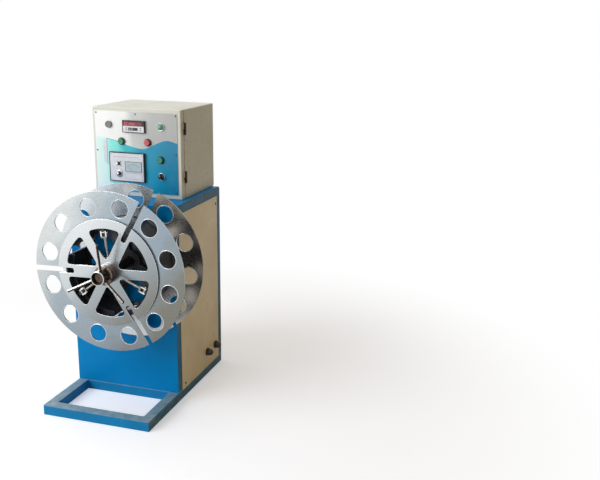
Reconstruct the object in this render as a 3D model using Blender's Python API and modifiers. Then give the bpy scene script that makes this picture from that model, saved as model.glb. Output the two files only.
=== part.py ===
"""Wire coil winding machine: steel cabinet, control box and a quick release reel.

Metres, +Z up, the front of the machine faces -Y.  The origin lies on the floor below the
reel shaft, halfway between the tips of the nut arms and the back of the cabinet.
"""

from math import asin, atan2, ceil, cos, hypot, pi, radians, sin, sqrt, tan

import bmesh
import bpy
from mathutils import Matrix, Vector

# General clearances and facets
SEAT = 0.0003
OVERRUN = 0.010
ROUND_STEPS = 24
SMALL_STEPS = 12
FLAT_SHARE = cos(pi / SMALL_STEPS)
PIN_STEPS = 10
HOLE_STEPS = 16
ARC_STEP = radians(8.0)
FILLET_STEP = radians(40.0)
CORE_STEP = radians(12.0)
BELT_STEP = radians(15.0)
SHARP_ANGLE = radians(38.0)
QUARTER = pi / 2

# Cabinet and foot
CABINET_WIDTH = 0.450
CABINET_DEPTH = 0.450
CABINET_HEIGHT = 0.803
TUBE = 0.040
TUBE_EDGE = 0.004
FOOT_REACH = 0.2595
SHEET = 0.002
FLOOR_SHEET = 0.003
PANEL_MARGIN = 0.036
PANEL_EDGE = 0.0006
SHAFT_HOLE_RADIUS = 0.031
CABLE_HOLE_RADIUS = 0.024

# Cable glands, measured from the back and the floor
GLAND_BACKS = (0.165, 0.076)
GLAND_HEIGHT = 0.1065
GLAND_NUT_RADIUS = 0.0145
GLAND_NUT_LENGTH = 0.009
GLAND_CAP_RADIUS = 0.0125
GLAND_CAP_LENGTH = 0.017
GLAND_TIP_RADIUS = 0.0080
GLAND_NECK_RADIUS = 0.0100
GLAND_NECK_LENGTH = 0.014

# Reel shaft and its bearings
SHAFT_OFFSET = 0.0534
SHAFT_HEIGHT = 0.588
SHAFT_RADIUS = 0.020
SHAFT_END_DEPTH = 0.013
SHAFT_CHAMFER = 0.0015
SHAFT_TAIL = 0.025
FRONT_BEARING_DEPTH = 0.078
BEARING_INSET = 0.040
BEARING_RISE = 0.0492
BEARING_LENGTH = 0.184
BEARING_WIDTH = 0.054
BEARING_FOOT = 0.016
BEARING_RADIUS = 0.048
BEARING_HEAD_WIDTH = 0.044
BEARING_WEB = 0.090
BEARING_WEB_WIDTH = 0.034
SHELF_THICKNESS = 0.008
SHELF_LIP = 0.030
SHELF_SIDE_GAP = 0.003
SHELF_BELT_GAP = 0.0097

# Belt drive and gear motor
BELT_DEPTH = 0.300
BELT_WIDTH = 0.024
BELT_THICKNESS = 0.004
DRIVEN_RADIUS = 0.080
DRIVER_RADIUS = 0.040
PULLEY_LIP = 0.006
PULLEY_LIP_WIDTH = 0.003
MOTOR_HEIGHT = 0.215
MOTOR_RADIUS = 0.043
MOTOR_LENGTH = 0.112
MOTOR_SPIGOT = 0.004
MOTOR_FIN_DEPTH = 0.005
MOTOR_FIN_COUNT = 3
MOTOR_CAP_LENGTH = 0.016
GEARBOX_SIZE = 0.090
GEARBOX_LENGTH = 0.065
GEARBOX_BOSS_RADIUS = 0.018
GEARBOX_BOSS_LENGTH = 0.004
DRIVER_SHAFT_RADIUS = 0.0075
DRIVER_SHAFT_TAIL = 0.004
BRACKET_PLATE = 0.006
BRACKET_MARGIN = 0.008
BRACKET_FOOT = 0.075

# Rotation sensor beside the driven pulley
SENSOR_RADIUS = 0.006
SENSOR_LENGTH = 0.050
SENSOR_GAP = 0.002
SENSOR_CLIP_THICKNESS = 0.003
SENSOR_CLIP_WIDTH = 0.030
SENSOR_CLIP_MARGIN = 0.010
SENSOR_DROP = 0.016

# Reel flanges
FLANGE_RADIUS = 0.3048
SECTOR_INNER = 0.180
SECTOR_THICKNESS = 0.005
SPIDER_RADIUS = 0.204
SPIDER_THICKNESS = 0.0077
WINDING_WIDTH = 0.1566
REAR_STANDOFF = 0.0344
ARM_COUNT = 3
HOLE_COUNT = 12
HOLE_RADIUS = 0.033
HOLE_MARGIN = 0.0228
SLOT_WIDTH = 0.020
SLOT_ROOT = 0.140
SLOT_SPOKE = 0.047
PLAIN_SPOKE = 0.037
WINDOW_RADIUS = 0.168
WINDOW_FILLET = 0.012
FRONT_TURN = radians(1.9)
REAR_TURN = radians(7.0)
SPIDER_BORE = 0.0263

# Hubs of the flanges, the clamp nut and its arms
HUB_RADIUS = 0.038
HUB_LENGTH = 0.031
HUB_CHAMFER = 0.002
REAR_DISC_RADIUS = 0.046
REAR_DISC_THICKNESS = 0.008
REAR_BOSS_RADIUS = 0.034
REAR_BOSS_CLEARANCE = 0.004
NUT_RADIUS = 0.027
NUT_LENGTH = 0.0407
NUT_CHAMFER = 0.0015
NUT_ARM_RADIUS = 0.0055
NUT_ARM_REACH = 0.130
NUT_ARM_RAKE = radians(16.0)
NUT_ARM_START = radians(85.5)
NUT_ARM_SEAT = 0.021

# Collapsible core: three claws, their guides, links and the sliding collar
CORE_RADIUS = 0.178
CORE_WALL = 0.006
CORE_GAP = 0.040
CORE_TRAVEL = 0.020
CORE_RIB_DEPTH = 0.014
CORE_RIB_WIDTH = 0.005
CORE_RIB_INSET = 0.024
GUIDE_WIDTH = 0.020
GUIDE_HEIGHT = 0.012
GUIDE_START = 0.036
GUIDE_RING_RADIUS = 0.046
SHOE_CHEEK = 0.008
SHOE_ROOF = 0.006
SHOE_LENGTH = 0.060
SHOE_EDGE = 0.001
LINK_OUTER = 0.148
LINK_INNER = 0.046
LINK_BEHIND = 0.009
LINK_ROD_RADIUS = 0.0055
LINK_TAIL_RADIUS = 0.008
LINK_TAIL_WIDTH = 0.0116
LINK_PIN_RADIUS = 0.004
LINK_PIN_OVERHANG = 0.002
LUG_RADIUS = 0.009
LUG_WIDTH = 0.0136
FORK_EAR = 0.005
FORK_DEPTH = 0.016
FORK_TOE = 0.008
FORK_LENGTH = 0.019
FORK_BRIDGE = 0.006
COLLAR_RADIUS = 0.030
COLLAR_LENGTH = 0.038
COLLAR_EAR = 0.005
COLLAR_EAR_REACH = 0.055
COLLAR_EAR_DEPTH = 0.018
COLLAR_PIN_RADIUS = 0.003
COLLAR_LEAD = 0.011
RUNNING_CLEARANCE = 0.0003
SLOT_SPARE = 0.0008

# Control box
BOX_WIDTH = 0.3808
BOX_HEIGHT = 0.3504
BOX_DEPTH = 0.2892
BOX_OFFSET = 0.0099
BOX_SHEET = 0.002
BOX_EDGE = 0.003
DOOR_DEPTH = 0.026
DOOR_GAP = 0.003
DOOR_EDGE = 0.0025
HINGE_RADIUS = 0.004
HINGE_PIN_RADIUS = 0.002
HINGE_KNUCKLE = 0.022
HINGE_LEAF = 0.0015
HINGE_OVERLAP = 0.001
HINGE_LEAF_WIDTH = 0.014
HINGE_HEIGHT_SHARES = (0.25, 0.79)
PLATE_LEFT_MARGIN = 0.01065
PLATE_RIGHT_MARGIN = 0.01465
PLATE_LOW_MARGIN = 0.0174
PLATE_TOP_MARGIN = 0.0150
PLATE_THICKNESS = 0.0015
BACKPLATE_MARGIN = 0.030
BACKPLATE_THICKNESS = 0.002
BACKPLATE_STANDOFF = 0.012
STANDOFF_RADIUS = 0.005

# Devices on the faceplate; their places are shares of the box's width and height, from its middle
COUNTER_WIDTH = 0.096
COUNTER_HEIGHT = 0.048
COUNTER_SPOT_SHARES = (-0.0189, 0.2965)
COUNTER_PROUD = 0.009
COUNTER_BODY_WIDTH = 0.0915
COUNTER_BODY_HEIGHT = 0.0445
COUNTER_BODY_DEPTH = 0.078
DEVICE_EDGE = 0.0015
UNIT_WIDTH = 0.153
UNIT_HEIGHT = 0.117
UNIT_SPOT_SHARES = (-0.1069, -0.1635)
UNIT_PROUD = 0.011
UNIT_BODY_MARGIN = 0.008
UNIT_BODY_DEPTH = 0.048
KNOB_SPOT_SHARES = (-0.2235, -0.2291)
KNOB_RADIUS = 0.0085
KNOB_LENGTH = 0.013
KNOB_SKIRT = 0.0015
TOGGLE_SPOT_SHARES = (-0.2235, 0.1145)
TOGGLE_BUSH_RADIUS = 0.0055
TOGGLE_BUSH_LENGTH = 0.004
TOGGLE_RADIUS = 0.0022
TOGGLE_TIP_RADIUS = 0.0030
TOGGLE_LENGTH = 0.014
TOGGLE_START = 0.0009
TOGGLE_TILT = radians(12.0)
BEZEL_RADIUS = 0.0148
BEZEL_PROUD = 0.007
BEZEL_WALL = 0.0028
BEZEL_NECK_RADIUS = 0.011
BLOCK_SIZE = 0.030
BLOCK_DEPTH = 0.032
NECK_LENGTH = 0.014
CAP_PROUD = 0.0125
CAP_TRAVEL = 0.004
CAP_ROUND = 0.0015
CAP_STEM_RADIUS = 0.0077
CAP_STEM_DEPTH = 0.0055
RED_SPOT_SHARES = (0.1297, 0.1267)
GREEN_LEFT_SPOT_SHARES = (-0.1681, 0.1256)
GREEN_RIGHT_SPOT_SHARES = (0.2707, -0.0608)
SELECTOR_SPOT_SHARES = (0.2763, -0.2469)
LAMP_SPOT_SHARES = (0.2818, 0.3076)
BUZZER_SPOT_SHARES = (-0.3101, 0.3088)
SELECTOR_LENGTH = 0.015
SELECTOR_RIDGE = 0.007
SELECTOR_RIDGE_RISE = 0.004
LAMP_DOME_RADIUS = 0.0118
LAMP_DOME_RISE = 0.010
LAMP_DOME_RINGS = 3
BUZZER_RADIUS = 0.0165
BUZZER_PROUD = 0.008

# Gear on the mounting plate in the box: width, height and depth of each, and its place on the plate
CONTACTOR_SIZE = (0.045, 0.076, 0.080)
DRIVE_SIZE = (0.110, 0.130, 0.090)
TERMINAL_SIZE = (0.230, 0.044, 0.040)
CONTACTOR_X_SHARE = -0.30
DRIVE_X_SHARE = 0.26
UPPER_GEAR_Z_SHARE = 0.20
TERMINAL_Z_SHARE = -0.34
TERMINAL_COUNT = 16
TERMINAL_SLIT = 0.0020
TERMINAL_SLIT_DEPTH = 0.010

# Places that follow from the sizes above
HOLE_CIRCLE = FLANGE_RADIUS - HOLE_MARGIN - HOLE_RADIUS
SHAFT_BACK = BELT_DEPTH + SHAFT_TAIL
SHELF_DEPTH = BELT_DEPTH - BELT_WIDTH / 2 - SEAT - PULLEY_LIP_WIDTH - SHELF_BELT_GAP
BEARING_DEPTHS = (FRONT_BEARING_DEPTH, SHELF_DEPTH - BEARING_INSET)
NUT_ARM_SLOPE = tan(NUT_ARM_RAKE)
REAR_SECTOR_FACE = REAR_STANDOFF + SECTOR_THICKNESS
REAR_SPIDER_FACE = REAR_STANDOFF - SEAT
REAR_SPIDER_BACK = REAR_SPIDER_FACE - SPIDER_THICKNESS
FRONT_SECTOR_BACK = REAR_SECTOR_FACE + WINDING_WIDTH
FRONT_SECTOR_FACE = FRONT_SECTOR_BACK + SECTOR_THICKNESS
FRONT_SPIDER_BACK = FRONT_SECTOR_FACE + SEAT
FRONT_SPIDER_FACE = FRONT_SPIDER_BACK + SPIDER_THICKNESS
HUB_FACE = FRONT_SPIDER_FACE + SEAT + HUB_LENGTH
NUT_BACK = HUB_FACE + SEAT
NUT_FACE = NUT_BACK + NUT_LENGTH
NUT_ARM_AHEAD = NUT_BACK + NUT_ARM_SEAT
ARM_FORWARD = (NUT_ARM_REACH - NUT_RADIUS) * NUT_ARM_SLOPE
FRONT_REACH = NUT_ARM_AHEAD + ARM_FORWARD + NUT_ARM_RADIUS * cos(NUT_ARM_RAKE)
CABINET_FRONT = (FRONT_REACH - CABINET_DEPTH) / 2
CABINET_BACK = CABINET_FRONT + CABINET_DEPTH
CABINET_X = -SHAFT_OFFSET
CABINET_LEFT = CABINET_X - CABINET_WIDTH / 2
CABINET_RIGHT = CABINET_X + CABINET_WIDTH / 2
CORE_AHEAD = FRONT_SPIDER_BACK - SEAT
LINK_AHEAD = FRONT_SECTOR_BACK - LINK_BEHIND
LINK_LENGTH = LINK_OUTER - LINK_INNER
COLLAR_TRAVEL = sqrt(LINK_LENGTH ** 2 - (LINK_LENGTH - CORE_TRAVEL) ** 2)
LINK_SWING = asin(COLLAR_TRAVEL / LINK_LENGTH)
HALF_DROP = LINK_LENGTH * cos(LINK_SWING / 2)
HALF_SHIFT = LINK_LENGTH * sin(LINK_SWING / 2)
LINK_SLACK = hypot(HALF_DROP + CORE_TRAVEL / 2 - LINK_LENGTH, HALF_SHIFT - COLLAR_TRAVEL / 2)
CLAW_TURNS = [QUARTER + REAR_TURN + 2 * pi * k / ARM_COUNT for k in range(ARM_COUNT)]
BOX_X = CABINET_X + BOX_OFFSET
BOX_BASE = CABINET_HEIGHT + SEAT
BOX_MIDDLE = BOX_BASE + BOX_HEIGHT / 2
BOX_FRONT = CABINET_BACK - BOX_DEPTH
DOOR_BACK = BOX_FRONT - DOOR_GAP
DOOR_FRONT = DOOR_BACK - DOOR_DEPTH
PLATE_FRONT = DOOR_FRONT - SEAT - PLATE_THICKNESS
HINGE_X = BOX_X + BOX_WIDTH / 2 + HINGE_RADIUS + HINGE_LEAF
HINGE_Y = (BOX_FRONT + DOOR_BACK) / 2
SHELF_TOP = SHAFT_HEIGHT - BEARING_RISE - SEAT
BELT_Y = CABINET_FRONT + BELT_DEPTH
GEARBOX_BACK = BELT_Y - BELT_WIDTH / 2 - BRACKET_PLATE - PULLEY_LIP_WIDTH - GEARBOX_BOSS_LENGTH

# Colours as linear values with metallic and roughness
FINISHES = {
    "blue_enamel": ((0.0, 0.19, 0.47), 0.0, 0.35),
    "cream_enamel": ((0.72, 0.66, 0.52), 0.0, 0.45),
    "polished_aluminium": ((0.80, 0.81, 0.84), 1.0, 0.22),
    "bright_chrome": ((0.75, 0.75, 0.77), 1.0, 0.10),
    "oiled_steel": ((0.10, 0.070, 0.055), 0.8, 0.45),
    "black_steel": ((0.03, 0.03, 0.035), 0.6, 0.50),
    "machined_steel": ((0.45, 0.45, 0.47), 1.0, 0.35),
    "cast_iron": ((0.08, 0.12, 0.14), 0.5, 0.60),
    "black_rubber": ((0.02, 0.02, 0.02), 0.0, 0.80),
    "grey_plastic": ((0.25, 0.26, 0.27), 0.0, 0.50),
    "black_plastic": ((0.02, 0.02, 0.022), 0.0, 0.40),
    "red_plastic": ((0.55, 0.05, 0.05), 0.0, 0.35),
    "green_plastic": ((0.02, 0.25, 0.14), 0.0, 0.35),
    "teal_print": ((0.05, 0.38, 0.50), 0.2, 0.35),
}


def clear_scene():
    """Empty the file of objects and make the two collections."""
    for item in list(bpy.data.objects):
        bpy.data.objects.remove(item, do_unlink=True)
    found = {}
    for title in ("wire_coil_winding_machine", "cutters"):
        found[title] = bpy.data.collections.new(title)
        bpy.context.scene.collection.children.link(found[title])
    return found["wire_coil_winding_machine"], found["cutters"]


def make_materials():
    """One Principled material for each finish."""
    made = {}
    for title, (colour, metallic, roughness) in FINISHES.items():
        material = bpy.data.materials.new(title)
        material.use_nodes = True
        shader = material.node_tree.nodes["Principled BSDF"]
        shader.inputs["Base Color"].default_value = (*colour, 1.0)
        shader.inputs["Metallic"].default_value = metallic
        shader.inputs["Roughness"].default_value = roughness
        made[title] = material
    return made


PARTS, CUTTERS = clear_scene()
MATERIALS = make_materials()


def ahead(distance):
    """Y of a place so far in front of the cabinet."""
    return CABINET_FRONT - distance


def polar(radius, angle):
    """A flat point, counter-clockwise from +X as seen from the front."""
    return radius * cos(angle), radius * sin(angle)


def arc(centre, radius, start, end, step=ARC_STEP):
    """Points along an arc, both ends included."""
    count = max(2, ceil(abs(end - start) / step))
    turns = [start + (end - start) * i / count for i in range(count + 1)]
    return [(centre[0] + radius * cos(t), centre[1] + radius * sin(t)) for t in turns]


def circle(centre, radius, steps=ROUND_STEPS):
    """Points round a full circle."""
    return arc(centre, radius, 0, 2 * pi, 2 * pi / steps)[:-1]


def rectangle(centre, width, height):
    """The corners of a flat rectangle."""
    x, z = centre
    return [
        (x - width / 2, z - height / 2),
        (x + width / 2, z - height / 2),
        (x + width / 2, z + height / 2),
        (x - width / 2, z + height / 2),
    ]


def turned_points(points, angle):
    """Flat points turned about the origin."""
    return [(x * cos(angle) - y * sin(angle), x * sin(angle) + y * cos(angle)) for x, y in points]


def shade_round(mesh):
    """Shade a mesh smooth between its sharp edges."""
    mesh.shade_smooth()
    mesh.set_sharp_from_angle(angle=SHARP_ANGLE)


def dress(item, finish):
    """Give a piece its material and put it with the parts."""
    item.data.materials.clear()
    item.data.materials.append(MATERIALS[finish])
    PARTS.objects.link(item)
    return item


def hide_cutter(item):
    """Keep a cutter out of the model."""
    item.hide_render = True
    item.display_type = "WIRE"
    CUTTERS.objects.link(item)
    return item


def round_edges(item, width, segments=1):
    """Bevel the sharp edges of a piece."""
    bevel = item.modifiers.new("edges", "BEVEL")
    bevel.width = width
    bevel.segments = segments
    bevel.limit_method = "ANGLE"
    bevel.angle_limit = radians(40)
    return item


def apply_boolean(item, other, operation):
    """Cut or join a piece with another, and keep the operation live."""
    step = item.modifiers.new(operation.lower(), "BOOLEAN")
    step.operation = operation
    step.solver = "EXACT"
    step.object = other
    return item


def add_box(shape, low, high):
    """A block between two corners, in a bmesh."""
    made = bmesh.ops.create_cube(shape, size=1.0)
    size = [b - a for a, b in zip(low, high)]
    middle = [(a + b) / 2 for a, b in zip(low, high)]
    bmesh.ops.scale(shape, vec=size, verts=made["verts"])
    bmesh.ops.translate(shape, vec=middle, verts=made["verts"])
    return made["verts"]


def add_rod(shape, start, end, radius, steps=SMALL_STEPS, end_radius=None):
    """A round bar between two points, in a bmesh."""
    start, end = Vector(start), Vector(end)
    run = end - start
    turn = Vector((0, 0, 1)).rotation_difference(run).to_matrix().to_4x4()
    place = Matrix.Translation((start + end) / 2) @ turn
    tip = radius if end_radius is None else end_radius
    bmesh.ops.create_cone(
        shape, cap_ends=True, segments=steps, radius1=radius, radius2=tip, depth=run.length, matrix=place
    )


def mesh_object(name, shape):
    """Turn a bmesh into an object."""
    mesh = bpy.data.meshes.new(name)
    shape.to_mesh(mesh)
    shape.free()
    return bpy.data.objects.new(name, mesh)


def block(name, finish, low, high, edge=0.0):
    """One block between two corners, with bevelled edges if asked."""
    shape = bmesh.new()
    add_box(shape, low, high)
    item = dress(mesh_object(name, shape), finish)
    if edge:
        round_edges(item, edge)
    return item


def rod_cutter(name, spans, radius, steps=SMALL_STEPS):
    """Round cutters, one for each pair of ends."""
    shape = bmesh.new()
    for start, end in spans:
        add_rod(shape, start, end, radius, steps)
    return hide_cutter(mesh_object(name, shape))


def evaluated_mesh(item):
    """The mesh of a piece with its modifiers applied, in its own space."""
    bpy.context.view_layer.update()
    graph = bpy.context.evaluated_depsgraph_get()
    return bpy.data.meshes.new_from_object(item.evaluated_get(graph))


def turned(name, finish, profile, place, rotation=(QUARTER, 0, 0), steps=ROUND_STEPS, closed=True):
    """A turned shape: radius and height pairs, down the outer side; height points to the front."""
    mesh = bpy.data.meshes.new(name)
    points = [(radius, 0, height) for radius, height in profile]
    edges = [(i, i + 1) for i in range(len(points) - 1)]
    if closed:
        edges.append((len(points) - 1, 0))
    mesh.from_pydata(points, edges, [])
    item = bpy.data.objects.new(name, mesh)
    item.location = place
    item.rotation_euler = rotation
    screw = item.modifiers.new("turned", "SCREW")
    screw.angle = 2 * pi
    screw.steps = steps
    screw.render_steps = steps
    screw.use_merge_vertices = True
    screw.merge_threshold = 0.00001
    CUTTERS.objects.link(item)
    mesh = evaluated_mesh(item)
    item.modifiers.clear()
    CUTTERS.objects.unlink(item)
    shade_round(mesh)
    item.data = mesh
    return dress(item, finish)


def plate(name, finish, outlines, front, back, link=True):
    """A flat plate that faces the front, cut from outlines; the first is the outer one."""
    curve = bpy.data.curves.new(name, "CURVE")
    curve.dimensions = "2D"
    curve.fill_mode = "BOTH"
    curve.extrude = (back - front) / 2
    for outline in outlines:
        spline = curve.splines.new("POLY")
        spline.points.add(len(outline) - 1)
        for point, (x, z) in zip(spline.points, outline):
            point.co = (x, z, 0, 1)
        spline.use_cyclic_u = True
    item = bpy.data.objects.new(name, curve)
    item.rotation_euler = (QUARTER, 0, 0)
    item.location = (0, (front + back) / 2, 0)
    return dress(item, finish) if link else item


def solid_mesh(item, name):
    """The evaluated mesh of a piece in world space, welded; the piece is removed."""
    if not item.users_collection:
        CUTTERS.objects.link(item)
    mesh = evaluated_mesh(item)
    mesh.transform(item.matrix_world)
    mesh.name = name
    shape = bmesh.new()
    shape.from_mesh(mesh)
    bmesh.ops.remove_doubles(shape, verts=shape.verts, dist=0.00001)
    shape.to_mesh(mesh)
    shape.free()
    bpy.data.objects.remove(item)
    return mesh


def joined(name, pieces):
    """One solid from overlapping pieces, as a mesh that several objects may share."""
    base = bpy.data.objects.new(name, solid_mesh(pieces[0], name))
    CUTTERS.objects.link(base)
    helpers = []
    for piece in pieces[1:]:
        helper = bpy.data.objects.new("join", solid_mesh(piece, "join"))
        CUTTERS.objects.link(helper)
        apply_boolean(base, helper, "UNION")
        helpers.append(helper)
    mesh = solid_mesh(base, name)
    for helper in helpers:
        bpy.data.objects.remove(helper)
    return mesh


def raw_box(low, high):
    """A loose block for joining."""
    shape = bmesh.new()
    add_box(shape, low, high)
    return mesh_object("raw", shape)


def raw_rod(start, end, radius, steps=SMALL_STEPS):
    """A loose round bar for joining."""
    shape = bmesh.new()
    add_rod(shape, start, end, radius, steps)
    return mesh_object("raw", shape)


def cut_mesh(mesh, cutters):
    """The mesh with the cutters taken out; the cutters are removed."""
    base = bpy.data.objects.new(mesh.name, mesh)
    CUTTERS.objects.link(base)
    for cutter in cutters:
        CUTTERS.objects.link(cutter)
        apply_boolean(base, cutter, "DIFFERENCE")
    result = solid_mesh(base, mesh.name)
    for cutter in cutters:
        bpy.data.objects.remove(cutter)
    return result


def place_mesh(name, finish, mesh, place=(0, 0, 0), turn=0.0):
    """An object from a mesh, moved and turned about the shaft's direction."""
    shade_round(mesh)
    item = dress(bpy.data.objects.new(name, mesh), finish)
    item.location = place
    item.rotation_euler = (0, -turn, 0)
    return item


def welded_bars(name, finish, corners, edge):
    """One welded frame of square bars, each between two corners."""
    mesh = joined(name, [raw_box(low, high) for low, high in corners])
    return round_edges(place_mesh(name, finish, mesh), edge)


def axis_empty(name, place):
    """An empty on a joint's axis, which carries the moving pieces."""
    empty = bpy.data.objects.new(name, None)
    empty.location = place
    empty.empty_display_size = TUBE
    PARTS.objects.link(empty)
    return empty


def hang(item, empty):
    """Parent a piece to an empty and keep its place."""
    bpy.context.view_layer.update()
    item.parent = empty
    item.matrix_parent_inverse = empty.matrix_world.inverted()
    return item


def base_frame():
    """Foot and cabinet base of welded square tube."""
    foot = ahead(FOOT_REACH)
    rails = []
    for left in (CABINET_LEFT, CABINET_RIGHT - TUBE):
        rails.append(((left, foot, 0), (left + TUBE, CABINET_BACK, TUBE)))
    inner = (CABINET_LEFT + TUBE / 2, CABINET_RIGHT - TUBE / 2)
    for near in (foot, CABINET_FRONT, CABINET_BACK - TUBE):
        rails.append(((inner[0], near, 0), (inner[1], near + TUBE, TUBE)))
    welded_bars("base_frame", "blue_enamel", rails, TUBE_EDGE)


def frame_top():
    """Height of the top rails' upper face."""
    return CABINET_HEIGHT - SHEET - SEAT


def post_front():
    """Y of the front face of the front posts, behind the front sheet."""
    return CABINET_FRONT + SHEET + SEAT


def upright_frame():
    """Four posts and the top ring of the cabinet."""
    front, back = post_front(), CABINET_BACK - SHEET - SEAT
    low = TUBE + FLOOR_SHEET + 2 * SEAT
    top = frame_top()
    rail_low = top - TUBE
    members = []
    for left in (CABINET_LEFT, CABINET_RIGHT - TUBE):
        for near in (front, back - TUBE):
            members.append(((left, near, low), (left + TUBE, near + TUBE, top - TUBE / 2)))
        members.append(((left, front, rail_low), (left + TUBE, back, top)))
    for near in (front, back - TUBE):
        end = (CABINET_RIGHT - TUBE / 2, near + TUBE, top)
        members.append(((CABINET_LEFT + TUBE / 2, near, rail_low), end))
    welded_bars("upright_frame", "blue_enamel", members, TUBE_EDGE)


def floor_panel():
    """Sheet that closes the cabinet below and carries the motor bracket."""
    low = (CABINET_LEFT, CABINET_FRONT, TUBE + SEAT)
    high = (CABINET_RIGHT, CABINET_BACK, TUBE + SEAT + FLOOR_SHEET)
    block("floor_panel", "blue_enamel", low, high)


def front_panel():
    """Blue front sheet with the hole for the shaft."""
    low = TUBE + FLOOR_SHEET + 2 * SEAT
    height = frame_top() - low
    outline = rectangle((CABINET_X, low + height / 2), CABINET_WIDTH, height)
    hole = circle((0, SHAFT_HEIGHT), SHAFT_HOLE_RADIUS)
    plate("front_panel", "blue_enamel", [outline, hole], CABINET_FRONT, CABINET_FRONT + SHEET)


def top_panel():
    """Blue top sheet with the cable hole under the control box."""
    low = (CABINET_LEFT, CABINET_FRONT, CABINET_HEIGHT - SHEET)
    item = block("top_panel", "blue_enamel", low, (CABINET_RIGHT, CABINET_BACK, CABINET_HEIGHT))
    centre = (BOX_X, CABINET_BACK - BOX_DEPTH / 2)
    ends = [((*centre, CABINET_HEIGHT - OVERRUN), (*centre, CABINET_HEIGHT + OVERRUN))]
    apply_boolean(item, rod_cutter("top_hole", ends, CABLE_HOLE_RADIUS), "DIFFERENCE")


def side_panel(name, side):
    """Cream sheet on the side of the frame; side is -1 at the left and 1 at the right."""
    inner = CABINET_X + side * (CABINET_WIDTH / 2 + SEAT)
    outer = inner + side * SHEET
    low = (min(inner, outer), CABINET_FRONT + PANEL_MARGIN, PANEL_MARGIN)
    high = (max(inner, outer), CABINET_BACK - PANEL_MARGIN, CABINET_HEIGHT - PANEL_MARGIN)
    return block(name, "cream_enamel", low, high, PANEL_EDGE)


def back_panel():
    """Cream sheet on the back of the cabinet."""
    low = TUBE + FLOOR_SHEET + 2 * SEAT
    height = frame_top() - low
    outline = rectangle((CABINET_X, low + height / 2), CABINET_WIDTH, height)
    plate("back_panel", "cream_enamel", [outline], CABINET_BACK - SHEET, CABINET_BACK)


def gland_places():
    """Where the two glands sit on the right side panel."""
    x = CABINET_RIGHT + SEAT + SHEET
    return [(x, CABINET_BACK - back, GLAND_HEIGHT) for back in GLAND_BACKS]


def gland_hole_cutter(name):
    """Holes of the glands through the right side panel."""
    spans = [((x - OVERRUN, y, z), (x + OVERRUN, y, z)) for x, y, z in gland_places()]
    return rod_cutter(name, spans, GLAND_NECK_RADIUS + SEAT)


def cable_glands():
    """Two cable glands with their cap nuts, closed by blanking plugs."""
    cap_end = GLAND_NUT_LENGTH + GLAND_CAP_LENGTH
    outline = [
        (0, -GLAND_NECK_LENGTH),
        (GLAND_NECK_RADIUS, -GLAND_NECK_LENGTH),
        (GLAND_NECK_RADIUS, SEAT),
        (GLAND_NUT_RADIUS, SEAT),
        (GLAND_NUT_RADIUS, GLAND_NUT_LENGTH),
        (GLAND_CAP_RADIUS, GLAND_NUT_LENGTH),
        (GLAND_CAP_RADIUS, cap_end - GLAND_CAP_LENGTH / 3),
        (GLAND_TIP_RADIUS, cap_end),
        (0, cap_end),
    ]
    for number, place in enumerate(gland_places(), 1):
        name = f"cable_gland_{number}"
        turned(name, "black_plastic", outline[::-1], place, (0, QUARTER, 0), SMALL_STEPS, closed=False)


def shelf_span():
    """Front and back of the bearing shelf."""
    return post_front() + TUBE + SEAT, CABINET_FRONT + SHELF_DEPTH


def bearing_shelf():
    """Thick plate with stiffening lips that carries the two bearings."""
    front, back = shelf_span()
    left, right = CABINET_LEFT + SHELF_SIDE_GAP, CABINET_RIGHT - SHELF_SIDE_GAP
    low = SHELF_TOP - SHELF_THICKNESS
    plate_block = raw_box((left, front, low), (right, back, SHELF_TOP))
    inner_left = CABINET_LEFT + TUBE + SHELF_SIDE_GAP
    inner_right = CABINET_RIGHT - TUBE - SHELF_SIDE_GAP
    lips = []
    for near in (front, back - SHELF_THICKNESS):
        corner = (inner_left, near, low - SHELF_LIP)
        lips.append(raw_box(corner, (inner_right, near + SHELF_THICKNESS, low + SHELF_THICKNESS / 2)))
    place_mesh("bearing_shelf", "black_steel", joined("bearing_shelf", [plate_block] + lips))


def bearing_housings():
    """Two pillow blocks on the shelf, each with its foot, web and round head."""
    foot_low = SHELF_TOP + SEAT
    half = BEARING_WIDTH / 2
    head_half = BEARING_HEAD_WIDTH / 2
    web_half = BEARING_WEB_WIDTH / 2
    foot_end = (BEARING_LENGTH / 2, half, foot_low + BEARING_FOOT)
    foot = raw_box((-BEARING_LENGTH / 2, -half, foot_low), foot_end)
    web_low = foot_low + BEARING_FOOT / 2
    web = raw_box((-BEARING_WEB / 2, -web_half, web_low), (BEARING_WEB / 2, web_half, SHAFT_HEIGHT))
    head = raw_rod((0, -head_half, SHAFT_HEIGHT), (0, head_half, SHAFT_HEIGHT), BEARING_RADIUS, ROUND_STEPS)
    bore_end = BEARING_WIDTH + OVERRUN
    bore_radius = SHAFT_RADIUS + 2 * SEAT
    bore = raw_rod((0, -bore_end, SHAFT_HEIGHT), (0, bore_end, SHAFT_HEIGHT), bore_radius, ROUND_STEPS)
    mesh = cut_mesh(joined("bearing_housing", [foot, web, head]), [bore])
    for number, depth in enumerate(BEARING_DEPTHS, 1):
        place_mesh(f"bearing_housing_{number}", "cast_iron", mesh, (0, CABINET_FRONT + depth, 0))


def main_shaft(empty):
    """The reel shaft, with a chamfered threaded front end inside the nut."""
    front = -ahead(NUT_FACE - SHAFT_END_DEPTH)
    back = -(CABINET_FRONT + SHAFT_BACK)
    inner = SHAFT_RADIUS - SHAFT_CHAMFER
    profile = [
        (0, front),
        (inner, front),
        (SHAFT_RADIUS, front - SHAFT_CHAMFER),
        (SHAFT_RADIUS, back + SHAFT_CHAMFER),
        (inner, back),
        (0, back),
    ]
    hang(turned("main_shaft", "oiled_steel", profile, (0, 0, SHAFT_HEIGHT), closed=False), empty)


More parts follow.
